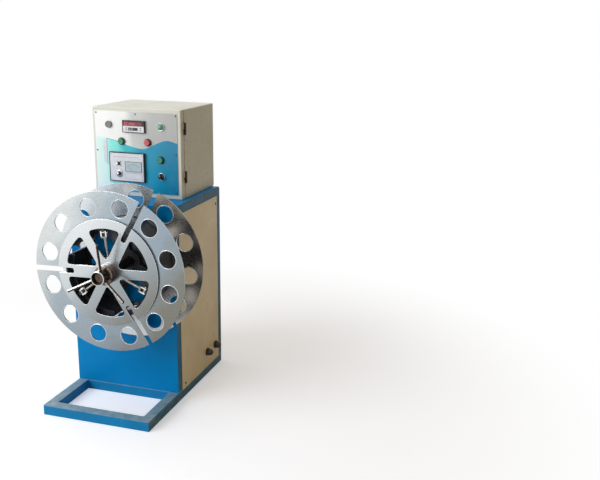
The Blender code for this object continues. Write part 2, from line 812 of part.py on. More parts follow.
def pulley_profile(radius):
    """Outer side of a flanged flat belt pulley, about its own middle."""
    half = BELT_WIDTH / 2 + SEAT
    edge = half + PULLEY_LIP_WIDTH
    lip = radius + PULLEY_LIP
    return [(lip, edge), (lip, half), (radius, half), (radius, -half), (lip, -half), (lip, -edge)]


def driven_pulley(empty):
    """Large flanged pulley on the reel shaft."""
    bore = SHAFT_RADIUS + SEAT
    profile = pulley_profile(DRIVEN_RADIUS)
    edge = profile[0][1]
    profile += [(bore, -edge), (bore, edge)]
    hang(turned("driven_pulley", "cast_iron", profile, (0, BELT_Y, SHAFT_HEIGHT)), empty)


def motor_pulley():
    """Small flanged pulley with the gearbox's output shaft."""
    empty = axis_empty("motor_axis", (0, BELT_Y, MOTOR_HEIGHT))
    outer = pulley_profile(DRIVER_RADIUS)
    edge = outer[0][1]
    front = BELT_Y - (GEARBOX_BACK + GEARBOX_BOSS_LENGTH + SEAT)
    tail = -edge - DRIVER_SHAFT_TAIL
    start = [(0, front), (DRIVER_SHAFT_RADIUS, front), (DRIVER_SHAFT_RADIUS, edge)]
    end = [(DRIVER_SHAFT_RADIUS, -edge), (DRIVER_SHAFT_RADIUS, tail), (0, tail)]
    profile = start + outer + end
    item = turned("motor_pulley", "machined_steel", profile, empty.location, steps=SMALL_STEPS, closed=False)
    hang(item, empty)


def belt_path(spare):
    """The belt's path round both pulleys, whose chords stay so far outside the rims."""
    chord = cos(BELT_STEP / 2)
    big, small = (DRIVEN_RADIUS + spare) / chord, (DRIVER_RADIUS + spare) / chord
    tilt = -asin((big - small) / (SHAFT_HEIGHT - MOTOR_HEIGHT))
    over = arc((0, SHAFT_HEIGHT), big, tilt, pi - tilt, BELT_STEP)
    return over + arc((0, MOTOR_HEIGHT), small, pi - tilt, 2 * pi + tilt, BELT_STEP)


def drive_belt():
    """Flat belt from the gear motor up to the reel shaft."""
    outlines = [belt_path(SEAT + BELT_THICKNESS), belt_path(SEAT)]
    plate("drive_belt", "black_rubber", outlines, BELT_Y - BELT_WIDTH / 2, BELT_Y + BELT_WIDTH / 2)


def motor_profile():
    """Outline of the finned motor, from its end cap to its spigot in the gear head."""
    back = -(GEARBOX_BACK - GEARBOX_LENGTH)
    front = back + MOTOR_LENGTH
    root = MOTOR_RADIUS - MOTOR_FIN_DEPTH
    start = front - MOTOR_CAP_LENGTH
    pitch = (start - back) / (MOTOR_FIN_COUNT + 1)
    profile = [(0, front), (root, front), (MOTOR_RADIUS, front - MOTOR_FIN_DEPTH), (MOTOR_RADIUS, start)]
    for fin in range(MOTOR_FIN_COUNT):
        top = start - fin * pitch
        middle = top - pitch / 2
        profile += [(root, top), (root, middle), (MOTOR_RADIUS, middle), (MOTOR_RADIUS, top - pitch)]
    end = back - MOTOR_SPIGOT
    return profile + [(MOTOR_RADIUS, end), (0, end)]


def gear_motor():
    """Motor with cooling fins and its square gear head with an output boss."""
    half = GEARBOX_SIZE / 2
    front = GEARBOX_BACK - GEARBOX_LENGTH
    case = raw_box((-half, front, MOTOR_HEIGHT - half), (half, GEARBOX_BACK, MOTOR_HEIGHT + half))
    boss_end = GEARBOX_BACK + GEARBOX_BOSS_LENGTH
    boss_ends = (0, GEARBOX_BACK - OVERRUN, MOTOR_HEIGHT), (0, boss_end, MOTOR_HEIGHT)
    boss = raw_rod(*boss_ends, GEARBOX_BOSS_RADIUS, ROUND_STEPS)
    place = (0, 0, MOTOR_HEIGHT)
    body = turned("raw_motor", "black_steel", motor_profile(), place, steps=SMALL_STEPS, closed=False)
    place_mesh("gear_motor", "black_steel", joined("gear_motor", [case, boss, body]))


def motor_bracket():
    """Angle bracket that carries the gearbox on the floor sheet."""
    half = GEARBOX_SIZE / 2 + BRACKET_MARGIN
    low = TUBE + FLOOR_SHEET + 2 * SEAT
    face = GEARBOX_BACK + SEAT
    wall = raw_box((-half, face, low), (half, face + BRACKET_PLATE, MOTOR_HEIGHT + half))
    foot = raw_box((-half, face - BRACKET_FOOT, low), (half, face + BRACKET_PLATE / 2, low + BRACKET_PLATE))
    mesh = joined("motor_bracket", [wall, foot])
    ends = (0, face - OVERRUN, MOTOR_HEIGHT), (0, face + BRACKET_PLATE + OVERRUN, MOTOR_HEIGHT)
    hole = raw_rod(*ends, GEARBOX_BOSS_RADIUS + SEAT, ROUND_STEPS)
    place_mesh("motor_bracket", "black_steel", cut_mesh(mesh, [hole]))


def rotation_sensor():
    """Proximity switch on a clip, which counts the turns of the driven pulley."""
    x, z = DRIVEN_RADIUS, SHAFT_HEIGHT - SENSOR_DROP
    clip_back = CABINET_FRONT + SHELF_DEPTH - SENSOR_CLIP_THICKNESS
    low = SHELF_TOP + SEAT
    top = z + SENSOR_RADIUS + SENSOR_CLIP_MARGIN
    half = SENSOR_CLIP_WIDTH / 2
    clip = raw_box((x - half, clip_back - SENSOR_CLIP_THICKNESS, low), (x + half, clip_back, top))
    tip = BELT_Y - BELT_WIDTH / 2 - SEAT - PULLEY_LIP_WIDTH - SENSOR_GAP
    barrel = raw_rod((x, tip - SENSOR_LENGTH, z), (x, tip, z), SENSOR_RADIUS)
    place_mesh("rotation_sensor", "machined_steel", joined("rotation_sensor", [clip, barrel]))


def slot_angles(turn):
    """Directions of the three binding slots of a flange."""
    return [turn + pi / ARM_COUNT + 2 * pi * k / ARM_COUNT for k in range(ARM_COUNT)]


def sector_outlines(slot):
    """Outline of the rim sector that follows a slot, with its round holes."""
    half = SLOT_WIDTH / 2
    far = slot + 2 * pi / ARM_COUNT
    outer, inner = asin(half / FLANGE_RADIUS), asin(half / SECTOR_INNER)
    rim = arc((0, 0), FLANGE_RADIUS, slot + outer, far - outer)
    outlines = [rim + arc((0, 0), SECTOR_INNER, far - inner, slot + inner)]
    pitch = 2 * pi / HOLE_COUNT
    first = slot + pitch / 2
    for k in range(HOLE_COUNT // ARM_COUNT):
        outlines.append(circle(polar(HOLE_CIRCLE, first + k * pitch), HOLE_RADIUS, HOLE_STEPS))
    return outlines


def rim_sectors(prefix, turn, front, back, empty):
    """Three rim sectors with the binding slots between them."""
    for number, slot in enumerate(slot_angles(turn), 1):
        name = f"{prefix}_{number}"
        flat = plate(name, "polished_aluminium", sector_outlines(slot), front, back, link=False)
        hang(place_mesh(name, "polished_aluminium", solid_mesh(flat, name), (0, 0, SHAFT_HEIGHT)), empty)


def window_outline(first, first_half, second_half):
    """One spider window: from the spoke at an angle to the next, with rounded corners."""
    fillet, span = WINDOW_FILLET, pi / ARM_COUNT
    low, high = first_half + fillet, second_half + fillet
    reach = WINDOW_RADIUS - fillet
    root = ((high + low * cos(span)) / sin(span), low)
    near = (sqrt(reach ** 2 - low ** 2), low)
    near_turn = atan2(near[1], near[0])
    far_turn = span - asin(high / reach)
    far = polar(reach, far_turn)
    points = arc(root, fillet, span + QUARTER, 3 * QUARTER, FILLET_STEP)
    points += arc(near, fillet, -QUARTER, near_turn, FILLET_STEP)
    points += arc((0, 0), WINDOW_RADIUS, near_turn, far_turn)[1:-1]
    points += arc(far, fillet, far_turn, span + QUARTER, FILLET_STEP)
    return turned_points(points, first)


def spider_outlines(turn):
    """Outline of a spider plate: three slots in from the rim, six windows and the bore."""
    half = SLOT_WIDTH / 2
    edge = asin(half / SPIDER_RADIUS)
    slots = slot_angles(turn)
    rim = []
    for slot in slots:
        far = slot + 2 * pi / ARM_COUNT
        rim += arc((0, 0), SPIDER_RADIUS, slot + edge, far - edge)
        rim += turned_points(arc((SLOT_ROOT + half, 0), half, 3 * QUARTER, QUARTER, FILLET_STEP), far)
    outlines = [rim]
    for slot in slots:
        outlines.append(window_outline(slot, SLOT_SPOKE / 2, PLAIN_SPOKE / 2))
        outlines.append(window_outline(slot + pi / ARM_COUNT, PLAIN_SPOKE / 2, SLOT_SPOKE / 2))
    return outlines


def spider(name, turn, front, back, bore, empty):
    """A spider plate of six spokes."""
    outlines = spider_outlines(turn) + [circle((0, 0), bore)]
    flat = plate(name, "polished_aluminium", outlines, front, back, link=False)
    hang(place_mesh(name, "polished_aluminium", solid_mesh(flat, name), (0, 0, SHAFT_HEIGHT)), empty)


def rear_hub(empty):
    """Hub of the rear flange: a disc against the spider and a boss on the shaft."""
    bore = SHAFT_RADIUS + SEAT
    face = -ahead(REAR_SPIDER_BACK - SEAT)
    step = face - REAR_DISC_THICKNESS
    back = -ahead(REAR_BOSS_CLEARANCE)
    profile = [
        (REAR_DISC_RADIUS, face),
        (REAR_DISC_RADIUS, step),
        (REAR_BOSS_RADIUS, step),
        (REAR_BOSS_RADIUS, back),
        (bore, back),
        (bore, face),
    ]
    hang(turned("rear_hub", "oiled_steel", profile, (0, 0, SHAFT_HEIGHT)), empty)


def front_hub(empty):
    """Dark boss of the front flange, with the spigot that seats in the spider."""
    bore = SHAFT_RADIUS + SEAT
    face, step = -ahead(HUB_FACE), -ahead(FRONT_SPIDER_FACE + SEAT)
    back = -ahead(FRONT_SPIDER_BACK)
    spigot = SPIDER_BORE - SEAT
    profile = [
        (HUB_RADIUS - HUB_CHAMFER, face),
        (HUB_RADIUS, face - HUB_CHAMFER),
        (HUB_RADIUS, step),
        (spigot, step),
        (spigot, back),
        (bore, back),
        (bore, face),
    ]
    hang(turned("front_hub", "oiled_steel", profile, (0, 0, SHAFT_HEIGHT)), empty)


def clamp_nut(empty):
    """Tubular clamp nut on the shaft's end with its three raked arms."""
    bore = SHAFT_RADIUS + SEAT
    face, back = -ahead(NUT_FACE), -ahead(NUT_BACK)
    profile = [
        (NUT_RADIUS - NUT_CHAMFER, face),
        (NUT_RADIUS, face - NUT_CHAMFER),
        (NUT_RADIUS, back),
        (bore, back),
        (bore, face),
    ]
    pieces = [turned("raw_nut", "bright_chrome", profile, (0, 0, SHAFT_HEIGHT))]
    root = (bore + NUT_RADIUS) / 2
    for number in range(ARM_COUNT):
        turn = NUT_ARM_START + 2 * pi * number / ARM_COUNT
        ends = []
        for reach in (root, NUT_ARM_REACH):
            x, z = polar(reach, turn)
            ends.append((x, ahead(NUT_ARM_AHEAD + (reach - NUT_RADIUS) * NUT_ARM_SLOPE), SHAFT_HEIGHT + z))
        pieces.append(raw_rod(*ends, NUT_ARM_RADIUS, PIN_STEPS))
    hang(place_mesh("clamp_nut", "bright_chrome", joined("clamp_nut", pieces)), empty)


def guide_rails(empty):
    """Three radial guide bars for the claws, on one ring round the shaft."""
    front, back = ahead(REAR_SPIDER_FACE + SEAT + GUIDE_HEIGHT), ahead(REAR_SPIDER_FACE + SEAT)
    pieces = [raw_rod((0, front, 0), (0, back, 0), GUIDE_RING_RADIUS, ROUND_STEPS)]
    for turn in CLAW_TURNS:
        bar = raw_box((GUIDE_START, front, -GUIDE_WIDTH / 2), (CORE_RADIUS, back, GUIDE_WIDTH / 2))
        bar.rotation_euler = (0, -turn, 0)
        pieces.append(bar)
    bore = raw_rod((0, front - OVERRUN, 0), (0, back + OVERRUN, 0), SHAFT_RADIUS + SEAT, ROUND_STEPS)
    mesh = cut_mesh(joined("guide_rails", pieces), [bore])
    hang(place_mesh("guide_rails", "black_steel", mesh, (0, 0, SHAFT_HEIGHT)), empty)


def core_band(outer, inner, front, back, spare=0.0):
    """A curved band of the core, whose ends leave the gap between the claws."""
    half = CORE_GAP / 2 + spare
    third = pi / ARM_COUNT
    out, into = third - asin(half / outer), third - asin(half / inner)
    outline = arc((0, 0), outer, -out, out, CORE_STEP) + arc((0, 0), inner, into, -into, CORE_STEP)
    return plate("raw", "black_steel", [outline], front, back, link=False)


def claw_mesh():
    """One claw along +X: curved wall, ribs, guide shoe and the lug of its link."""
    inner = CORE_RADIUS - CORE_WALL
    front, back = ahead(CORE_AHEAD), ahead(REAR_SPIDER_FACE + SEAT)
    wall = core_band(CORE_RADIUS, inner, front, back)
    pieces = [wall]
    for near in (front + CORE_RIB_INSET, back - CORE_RIB_INSET):
        overlap = CORE_WALL / 2
        pieces.append(core_band(inner + overlap, inner - CORE_RIB_DEPTH, near, near + CORE_RIB_WIDTH, SEAT))
    overlap = CORE_RADIUS - CORE_WALL / 2
    shoe_half = GUIDE_WIDTH / 2 + RUNNING_CLEARANCE + SHOE_CHEEK
    shoe_front = back - GUIDE_HEIGHT - RUNNING_CLEARANCE - SHOE_ROOF
    shoe = raw_box((inner - SHOE_LENGTH, shoe_front, -shoe_half), (overlap, back - SHOE_EDGE, shoe_half))
    pieces.append(shoe)
    half = LUG_WIDTH / 2
    y = ahead(LINK_AHEAD)
    pieces.append(raw_rod((LINK_OUTER, y, -half), (LINK_OUTER, y, half), LUG_RADIUS))
    cheek = LUG_RADIUS * FLAT_SHARE - SEAT
    low = (LINK_OUTER, y - cheek, -half + SEAT)
    pieces.append(raw_box(low, (overlap, y + cheek, half - SEAT)))
    mesh = joined("claw", pieces)
    channel_half = GUIDE_WIDTH / 2 + RUNNING_CLEARANCE
    channel_low = (0, back - GUIDE_HEIGHT - RUNNING_CLEARANCE, -channel_half)
    channel = raw_box(channel_low, (CORE_RADIUS + OVERRUN, back + OVERRUN, channel_half))
    pin_reach = half + OVERRUN
    pin_radius = LINK_PIN_RADIUS + RUNNING_CLEARANCE
    pin = raw_rod((LINK_OUTER, y, -pin_reach), (LINK_OUTER, y, pin_reach), pin_radius, PIN_STEPS)
    return cut_mesh(mesh, [channel, pin])


def link_mesh():
    """One link along +X: fork and pin at the claw, rod, and a slotted tail at the collar."""
    y = ahead(LINK_AHEAD)
    ear_in = LUG_WIDTH / 2 + RUNNING_CLEARANCE
    ear_out = ear_in + FORK_EAR
    base, cheek = LINK_OUTER - FORK_LENGTH, FORK_DEPTH / 2
    toe = LINK_OUTER + FORK_TOE
    block_piece = raw_box((base, y - cheek, -ear_out), (toe, y + cheek, ear_out))
    gap_low = (base + FORK_BRIDGE, y - cheek - OVERRUN, -ear_in)
    gap = raw_box(gap_low, (toe + OVERRUN, y + cheek + OVERRUN, ear_in))
    pieces = [bpy.data.objects.new("fork", cut_mesh(solid_mesh(block_piece, "fork"), [gap]))]
    pin_half, tail_half = ear_out + LINK_PIN_OVERHANG, LINK_TAIL_WIDTH / 2
    pieces.append(raw_rod((LINK_OUTER, y, -pin_half), (LINK_OUTER, y, pin_half), LINK_PIN_RADIUS, PIN_STEPS))
    start, end = (LINK_INNER + LINK_TAIL_RADIUS, y, 0), (base + FORK_BRIDGE / 2, y, 0)
    pieces.append(raw_rod(start, end, LINK_ROD_RADIUS, PIN_STEPS))
    slot_end = LINK_INNER + LINK_SLACK + SLOT_SPARE
    tail = raw_rod((LINK_INNER, y, -tail_half), (LINK_INNER, y, tail_half), LINK_TAIL_RADIUS, PIN_STEPS)
    head = raw_rod((slot_end, y, -tail_half), (slot_end, y, tail_half), LINK_TAIL_RADIUS, PIN_STEPS)
    cheek = LINK_TAIL_RADIUS - SEAT
    bridge = raw_box((LINK_INNER, y - cheek, -tail_half + SEAT), (slot_end, y + cheek, tail_half - SEAT))
    mesh = joined("link", pieces + [tail, head, bridge])
    hole = COLLAR_PIN_RADIUS + 2 * RUNNING_CLEARANCE
    reach = tail_half + OVERRUN
    ends = [raw_rod((x, y, -reach), (x, y, reach), hole, PIN_STEPS) for x in (LINK_INNER, slot_end)]
    slot = raw_box((LINK_INNER, y - hole + SEAT / 2, -reach), (slot_end, y + hole - SEAT / 2, reach))
    return cut_mesh(mesh, ends + [slot])


def core_collar():
    """Sliding collar on the shaft with three pairs of ears and their pins."""
    front = ahead(LINK_AHEAD + COLLAR_LEAD)
    empty = axis_empty("collar_axis", (0, front, SHAFT_HEIGHT))
    body = raw_rod((0, front, 0), (0, front + COLLAR_LENGTH, 0), COLLAR_RADIUS, ROUND_STEPS)
    y = ahead(LINK_AHEAD)
    gap = LINK_TAIL_WIDTH / 2 + RUNNING_CLEARANCE
    pieces = [body]
    for turn in CLAW_TURNS:
        for side in (-1, 1):
            zs = sorted((side * gap, side * (gap + COLLAR_EAR)))
            low = (SHAFT_RADIUS, y - COLLAR_EAR_DEPTH / 2, zs[0])
            ear = raw_box(low, (COLLAR_EAR_REACH, y + COLLAR_EAR_DEPTH / 2, zs[1]))
            ear.rotation_euler = (0, -turn, 0)
            pieces.append(ear)
        reach = gap + COLLAR_EAR - SEAT
        pin = raw_rod((LINK_INNER, y, -reach), (LINK_INNER, y, reach), COLLAR_PIN_RADIUS, PIN_STEPS)
        pin.rotation_euler = (0, -turn, 0)
        pieces.append(pin)
    mesh = joined("core_collar", pieces)
    bore_end = front + COLLAR_LENGTH + OVERRUN
    bore = raw_rod((0, front - OVERRUN, 0), (0, bore_end, 0), SHAFT_RADIUS + SEAT, ROUND_STEPS)
    mesh = cut_mesh(mesh, [bore])
    hang(place_mesh("core_collar", "machined_steel", mesh, (0, 0, SHAFT_HEIGHT)), empty)


def core_claws():
    """Three claws on their guides, each with its link."""
    claw, link = claw_mesh(), link_mesh()
    for number, turn in enumerate(CLAW_TURNS, 1):
        x, z = polar(LINK_OUTER, turn)
        empty = axis_empty(f"link_axis_{number}", (x, ahead(LINK_AHEAD), SHAFT_HEIGHT + z))
        place = (0, 0, SHAFT_HEIGHT)
        place_mesh(f"core_claw_{number}", "black_steel", claw, place, turn)
        hang(place_mesh(f"core_link_{number}", "bright_chrome", link, place, turn), empty)


def reel():
    """Everything that turns with the shaft, and what comes off its front."""
    empty = axis_empty("reel_axis", (0, CABINET_FRONT, SHAFT_HEIGHT))
    main_shaft(empty)
    driven_pulley(empty)
    rear_hub(empty)
    reach = ahead(REAR_SPIDER_FACE), ahead(REAR_SPIDER_BACK)
    spider("rear_spider", REAR_TURN, *reach, SHAFT_RADIUS + SEAT, empty)
    rim_sectors("rear_sector", REAR_TURN, ahead(REAR_SECTOR_FACE), ahead(REAR_STANDOFF), empty)
    guide_rails(empty)
    core_collar()
    core_claws()
    front = axis_empty("front_flange_axis", (0, ahead(FRONT_SECTOR_FACE), SHAFT_HEIGHT))
    spider("front_spider", FRONT_TURN, ahead(FRONT_SPIDER_FACE), ahead(FRONT_SPIDER_BACK), SPIDER_BORE, front)
    rim_sectors("front_sector", FRONT_TURN, ahead(FRONT_SECTOR_FACE), ahead(FRONT_SECTOR_BACK), front)
    front_hub(front)
    nut = axis_empty("nut_axis", (0, ahead(NUT_FACE), SHAFT_HEIGHT))
    clamp_nut(nut)


def open_tray(name, finish, low, high, open_side, edge):
    """A sheet metal tray between two corners, open at its front (-1) or back (1)."""
    shape = bmesh.new()
    add_box(shape, low, high)
    shape.faces.ensure_lookup_table()
    lids = [face for face in shape.faces if face.normal.y * open_side > 0.9]
    bmesh.ops.delete(shape, geom=lids, context="FACES")
    item = dress(mesh_object(name, shape), finish)
    round_edges(item, edge)
    wall = item.modifiers.new("sheet", "SOLIDIFY")
    wall.thickness = BOX_SHEET
    wall.offset = -1
    wall.use_even_offset = True
    return item


def hinge_heights():
    """Middles of the two door hinges."""
    return [BOX_BASE + share * BOX_HEIGHT for share in HINGE_HEIGHT_SHARES]


def add_hinge_halves(item, name, up):
    """Join the halves of both hinges to the case or, with up, to the door."""
    side = BOX_X + BOX_WIDTH / 2
    for number, z in enumerate(hinge_heights(), 1):
        near, far = (z + SEAT, z + HINGE_KNUCKLE) if up else (z - HINGE_KNUCKLE, z - SEAT)
        ys = (DOOR_BACK - HINGE_LEAF_WIDTH, HINGE_Y) if up else (HINGE_Y, BOX_FRONT + HINGE_LEAF_WIDTH)
        pieces = [raw_rod((HINGE_X, HINGE_Y, near), (HINGE_X, HINGE_Y, far), HINGE_RADIUS)]
        leaf_far = side + HINGE_LEAF + HINGE_OVERLAP
        pieces.append(raw_box((side - HINGE_OVERLAP, ys[0], near + SEAT), (leaf_far, ys[1], far - SEAT)))
        if up:
            ends = (HINGE_X, HINGE_Y, near - OVERRUN), (HINGE_X, HINGE_Y, far + OVERRUN)
            mesh = cut_mesh(joined(name, pieces), [raw_rod(*ends, HINGE_PIN_RADIUS + RUNNING_CLEARANCE)])
        else:
            ends = (HINGE_X, HINGE_Y, near + HINGE_RADIUS), (HINGE_X, HINGE_Y, far + HINGE_KNUCKLE)
            mesh = joined(name, pieces + [raw_rod(*ends, HINGE_PIN_RADIUS, PIN_STEPS)])
        apply_boolean(item, hide_cutter(bpy.data.objects.new(f"{name}_{number}", mesh)), "UNION")


def box_body():
    """Sheet metal case of the control box, open at the front, with the fixed hinge halves."""
    low = (BOX_X - BOX_WIDTH / 2, BOX_FRONT, BOX_BASE)
    high = (BOX_X + BOX_WIDTH / 2, CABINET_BACK, BOX_BASE + BOX_HEIGHT)
    item = open_tray("box_body", "cream_enamel", low, high, -1, BOX_EDGE)
    centre = (BOX_X, CABINET_BACK - BOX_DEPTH / 2)
    ends = [((*centre, BOX_BASE - OVERRUN), (*centre, BOX_BASE + OVERRUN))]
    apply_boolean(item, rod_cutter("box_hole", ends, CABLE_HOLE_RADIUS), "DIFFERENCE")
    add_hinge_halves(item, "hinge_base", False)


def backplate_size():
    """Width and height of the mounting plate."""
    return BOX_WIDTH - 2 * BACKPLATE_MARGIN, BOX_HEIGHT - 2 * BACKPLATE_MARGIN


def mounting_plate():
    """Plate inside the box on four standoffs."""
    width, height = backplate_size()
    wall = CABINET_BACK - BOX_SHEET - SEAT
    face = wall - BACKPLATE_STANDOFF
    low = (BOX_X - width / 2, face - BACKPLATE_THICKNESS, BOX_MIDDLE - height / 2)
    pieces = [raw_box(low, (BOX_X + width / 2, face, BOX_MIDDLE + height / 2))]
    inset = STANDOFF_RADIUS * 2
    for side in (-1, 1):
        for level in (-1, 1):
            x, z = BOX_X + side * (width / 2 - inset), BOX_MIDDLE + level * (height / 2 - inset)
            start = (x, face - BACKPLATE_THICKNESS / 2, z)
            pieces.append(raw_rod(start, (x, wall, z), STANDOFF_RADIUS, PIN_STEPS))
    place_mesh("mounting_plate", "machined_steel", joined("mounting_plate", pieces))


def gear_block(size, x_share, z_share):
    """Corners of a device on the mounting plate."""
    width, height = backplate_size()
    back = CABINET_BACK - BOX_SHEET - 2 * SEAT - BACKPLATE_STANDOFF - BACKPLATE_THICKNESS
    x, z = BOX_X + x_share * width, BOX_MIDDLE + z_share * height
    low = (x - size[0] / 2, back - size[2], z - size[1] / 2)
    return low, (x + size[0] / 2, back, z + size[1] / 2)


def control_gear():
    """Contactor, drive unit and terminal rail on the mounting plate."""
    low, high = gear_block(CONTACTOR_SIZE, CONTACTOR_X_SHARE, UPPER_GEAR_Z_SHARE)
    block("contactor", "black_plastic", low, high, DEVICE_EDGE)
    low, high = gear_block(DRIVE_SIZE, DRIVE_X_SHARE, UPPER_GEAR_Z_SHARE)
    block("drive_unit", "grey_plastic", low, high, DEVICE_EDGE)
    low, high = gear_block(TERMINAL_SIZE, 0.0, TERMINAL_Z_SHARE)
    item = block("terminal_rail", "grey_plastic", low, high)
    shape = bmesh.new()
    pitch = TERMINAL_SIZE[0] / TERMINAL_COUNT
    for number in range(1, TERMINAL_COUNT):
        x = low[0] + number * pitch
        slit_low = (x - TERMINAL_SLIT / 2, low[1] - OVERRUN, low[2] - OVERRUN)
        add_box(shape, slit_low, (x + TERMINAL_SLIT / 2, low[1] + TERMINAL_SLIT_DEPTH, high[2] + OVERRUN))
    apply_boolean(item, hide_cutter(mesh_object("terminal_slits", shape)), "DIFFERENCE")


def spot(shares):
    """World X and Z of a place given as shares of the box's width and height, from its middle."""
    return BOX_X + shares[0] * BOX_WIDTH, BOX_MIDDLE + shares[1] * BOX_HEIGHT


def unit_spot(shares):
    """World X and Z of a place on the speed unit, as shares of its face."""
    x, z = spot(UNIT_SPOT_SHARES)
    return x + shares[0] * UNIT_WIDTH, z + shares[1] * UNIT_HEIGHT


ROUND_SPOT_SHARES = (
    RED_SPOT_SHARES,
    GREEN_LEFT_SPOT_SHARES,
    GREEN_RIGHT_SPOT_SHARES,
    SELECTOR_SPOT_SHARES,
    LAMP_SPOT_SHARES,
    BUZZER_SPOT_SHARES,
)


def device_openings(spare):
    """Outlines of the openings that the devices need in the door and the faceplate."""
    counter_size = COUNTER_BODY_WIDTH + 2 * spare, COUNTER_BODY_HEIGHT + 2 * spare
    unit_spare = 2 * (spare - UNIT_BODY_MARGIN)
    unit_size = UNIT_WIDTH + unit_spare, UNIT_HEIGHT + unit_spare
    outlines = [
        rectangle(spot(COUNTER_SPOT_SHARES), *counter_size),
        rectangle(spot(UNIT_SPOT_SHARES), *unit_size),
    ]
    for place in ROUND_SPOT_SHARES:
        outlines.append(circle(spot(place), BEZEL_NECK_RADIUS + spare, SMALL_STEPS))
    return outlines


def box_door(empty):
    """Sheet metal door tray with the openings of its devices and the moving hinge halves."""
    low = (BOX_X - BOX_WIDTH / 2, DOOR_FRONT, BOX_BASE)
    high = (BOX_X + BOX_WIDTH / 2, DOOR_BACK, BOX_BASE + BOX_HEIGHT)
    item = open_tray("box_door", "cream_enamel", low, high, 1, DOOR_EDGE)
    depths = DOOR_FRONT - OVERRUN, DOOR_FRONT + OVERRUN
    cutter = plate("raw", "black_steel", device_openings(2 * SEAT), *depths, False)
    helper = bpy.data.objects.new("door_openings", solid_mesh(cutter, "door_openings"))
    add_hinge_halves(item, "hinge_knuckle", True)
    apply_boolean(item, hide_cutter(helper), "DIFFERENCE")
    hang(item, empty)


def faceplate(empty):
    """Printed plate on the door, with the same openings."""
    left, right = BOX_X - BOX_WIDTH / 2 + PLATE_LEFT_MARGIN, BOX_X + BOX_WIDTH / 2 - PLATE_RIGHT_MARGIN
    low, top = BOX_BASE + PLATE_LOW_MARGIN, BOX_BASE + BOX_HEIGHT - PLATE_TOP_MARGIN
    edge = rectangle(((left + right) / 2, (low + top) / 2), right - left, top - low)
    outlines = [edge] + device_openings(SEAT)
    hang(plate("faceplate", "teal_print", outlines, PLATE_FRONT, DOOR_FRONT - SEAT), empty)


def boxed_device(name, finish, centre, front_size, body_size, proud, depth, extra=()):
    """A device with a frame in front of the faceplate and a body through it."""
    x, z = spot(centre)
    width, height = front_size
    body_width, body_height = body_size
    frame_front = PLATE_FRONT - SEAT - proud
    frame_end = (x + width / 2, PLATE_FRONT - SEAT, z + height / 2)
    frame = raw_box((x - width / 2, frame_front, z - height / 2), frame_end)
    low = (x - body_width / 2, frame_front + proud / 2, z - body_height / 2)
    body = raw_box(low, (x + body_width / 2, PLATE_FRONT + depth, z + body_height / 2))
    return place_mesh(name, finish, joined(name, [frame, body] + list(extra)))


def counter(empty):
    """Panel counter."""
    sizes = (COUNTER_WIDTH, COUNTER_HEIGHT), (COUNTER_BODY_WIDTH, COUNTER_BODY_HEIGHT)
    depths = COUNTER_PROUD, COUNTER_BODY_DEPTH
    item = boxed_device("counter", "black_plastic", COUNTER_SPOT_SHARES, *sizes, *depths)
    hang(item, empty)


def unit_front():
    """Y of the speed unit's face."""
    return PLATE_FRONT - SEAT - UNIT_PROUD


def speed_unit(empty):
    """Speed control unit, with the bush of its switch."""
    x, z = unit_spot(TOGGLE_SPOT_SHARES)
    bush_end = (x, unit_front() + UNIT_PROUD / 2, z)
    bush = raw_rod((x, unit_front() - TOGGLE_BUSH_LENGTH, z), bush_end, TOGGLE_BUSH_RADIUS)
    body = (UNIT_WIDTH - 2 * UNIT_BODY_MARGIN, UNIT_HEIGHT - 2 * UNIT_BODY_MARGIN)
    sizes = (UNIT_WIDTH, UNIT_HEIGHT), body
    depths = UNIT_PROUD, UNIT_BODY_DEPTH
    item = boxed_device("speed_unit", "black_plastic", UNIT_SPOT_SHARES, *sizes, *depths, [bush])
    hang(item, empty)


def bezel_floor():
    """Height of the shoulder inside a bezel, in front of the faceplate."""
    return SEAT + RUNNING_CLEARANCE


def bezel(name, place, door):
    """Bezel of a control with its neck and contact block, bored for the stem."""
    profile = [
        (0, bezel_floor()),
        (BEZEL_RADIUS - BEZEL_WALL, bezel_floor()),
        (BEZEL_RADIUS - BEZEL_WALL, BEZEL_PROUD),
        (BEZEL_RADIUS, BEZEL_PROUD),
        (BEZEL_RADIUS, SEAT),
        (BEZEL_NECK_RADIUS, SEAT),
        (BEZEL_NECK_RADIUS, -NECK_LENGTH),
        (0, -NECK_LENGTH),
    ]
    x, z = spot(place)
    ring = turned("raw_bezel", "black_plastic", profile, (x, PLATE_FRONT, z), steps=SMALL_STEPS, closed=False)
    front = DOOR_FRONT + BOX_SHEET + SEAT
    half = BLOCK_SIZE / 2
    contact = raw_box((x - half, front, z - half), (x + half, front + BLOCK_DEPTH, z + half))
    bore_end = PLATE_FRONT + CAP_STEM_DEPTH + CAP_TRAVEL + SEAT
    bore = raw_rod((x, PLATE_FRONT - OVERRUN, z), (x, bore_end, z), CAP_STEM_RADIUS + RUNNING_CLEARANCE)
    mesh = cut_mesh(joined(name, [ring, contact]), [bore])
    hang(place_mesh(name, "black_plastic", mesh), door)


def push_button(name, finish, place, door):
    """A button: its bezel, and its coloured cap and stem."""
    bezel(name + "_bezel", place, door)
    x, z = spot(place)
    radius = BEZEL_RADIUS - BEZEL_WALL - RUNNING_CLEARANCE
    skirt = bezel_floor() + CAP_TRAVEL + SEAT
    profile = [
        (0, CAP_PROUD),
        (radius - CAP_ROUND, CAP_PROUD),
        (radius, CAP_PROUD - CAP_ROUND),
        (radius, skirt),
        (CAP_STEM_RADIUS, skirt),
        (CAP_STEM_RADIUS, -CAP_STEM_DEPTH),
        (0, -CAP_STEM_DEPTH),
    ]
    empty = axis_empty(name + "_axis", (x, PLATE_FRONT, z))
    hang(empty, door)
    hang(turned(name, finish, profile, (x, PLATE_FRONT, z), steps=SMALL_STEPS, closed=False), empty)


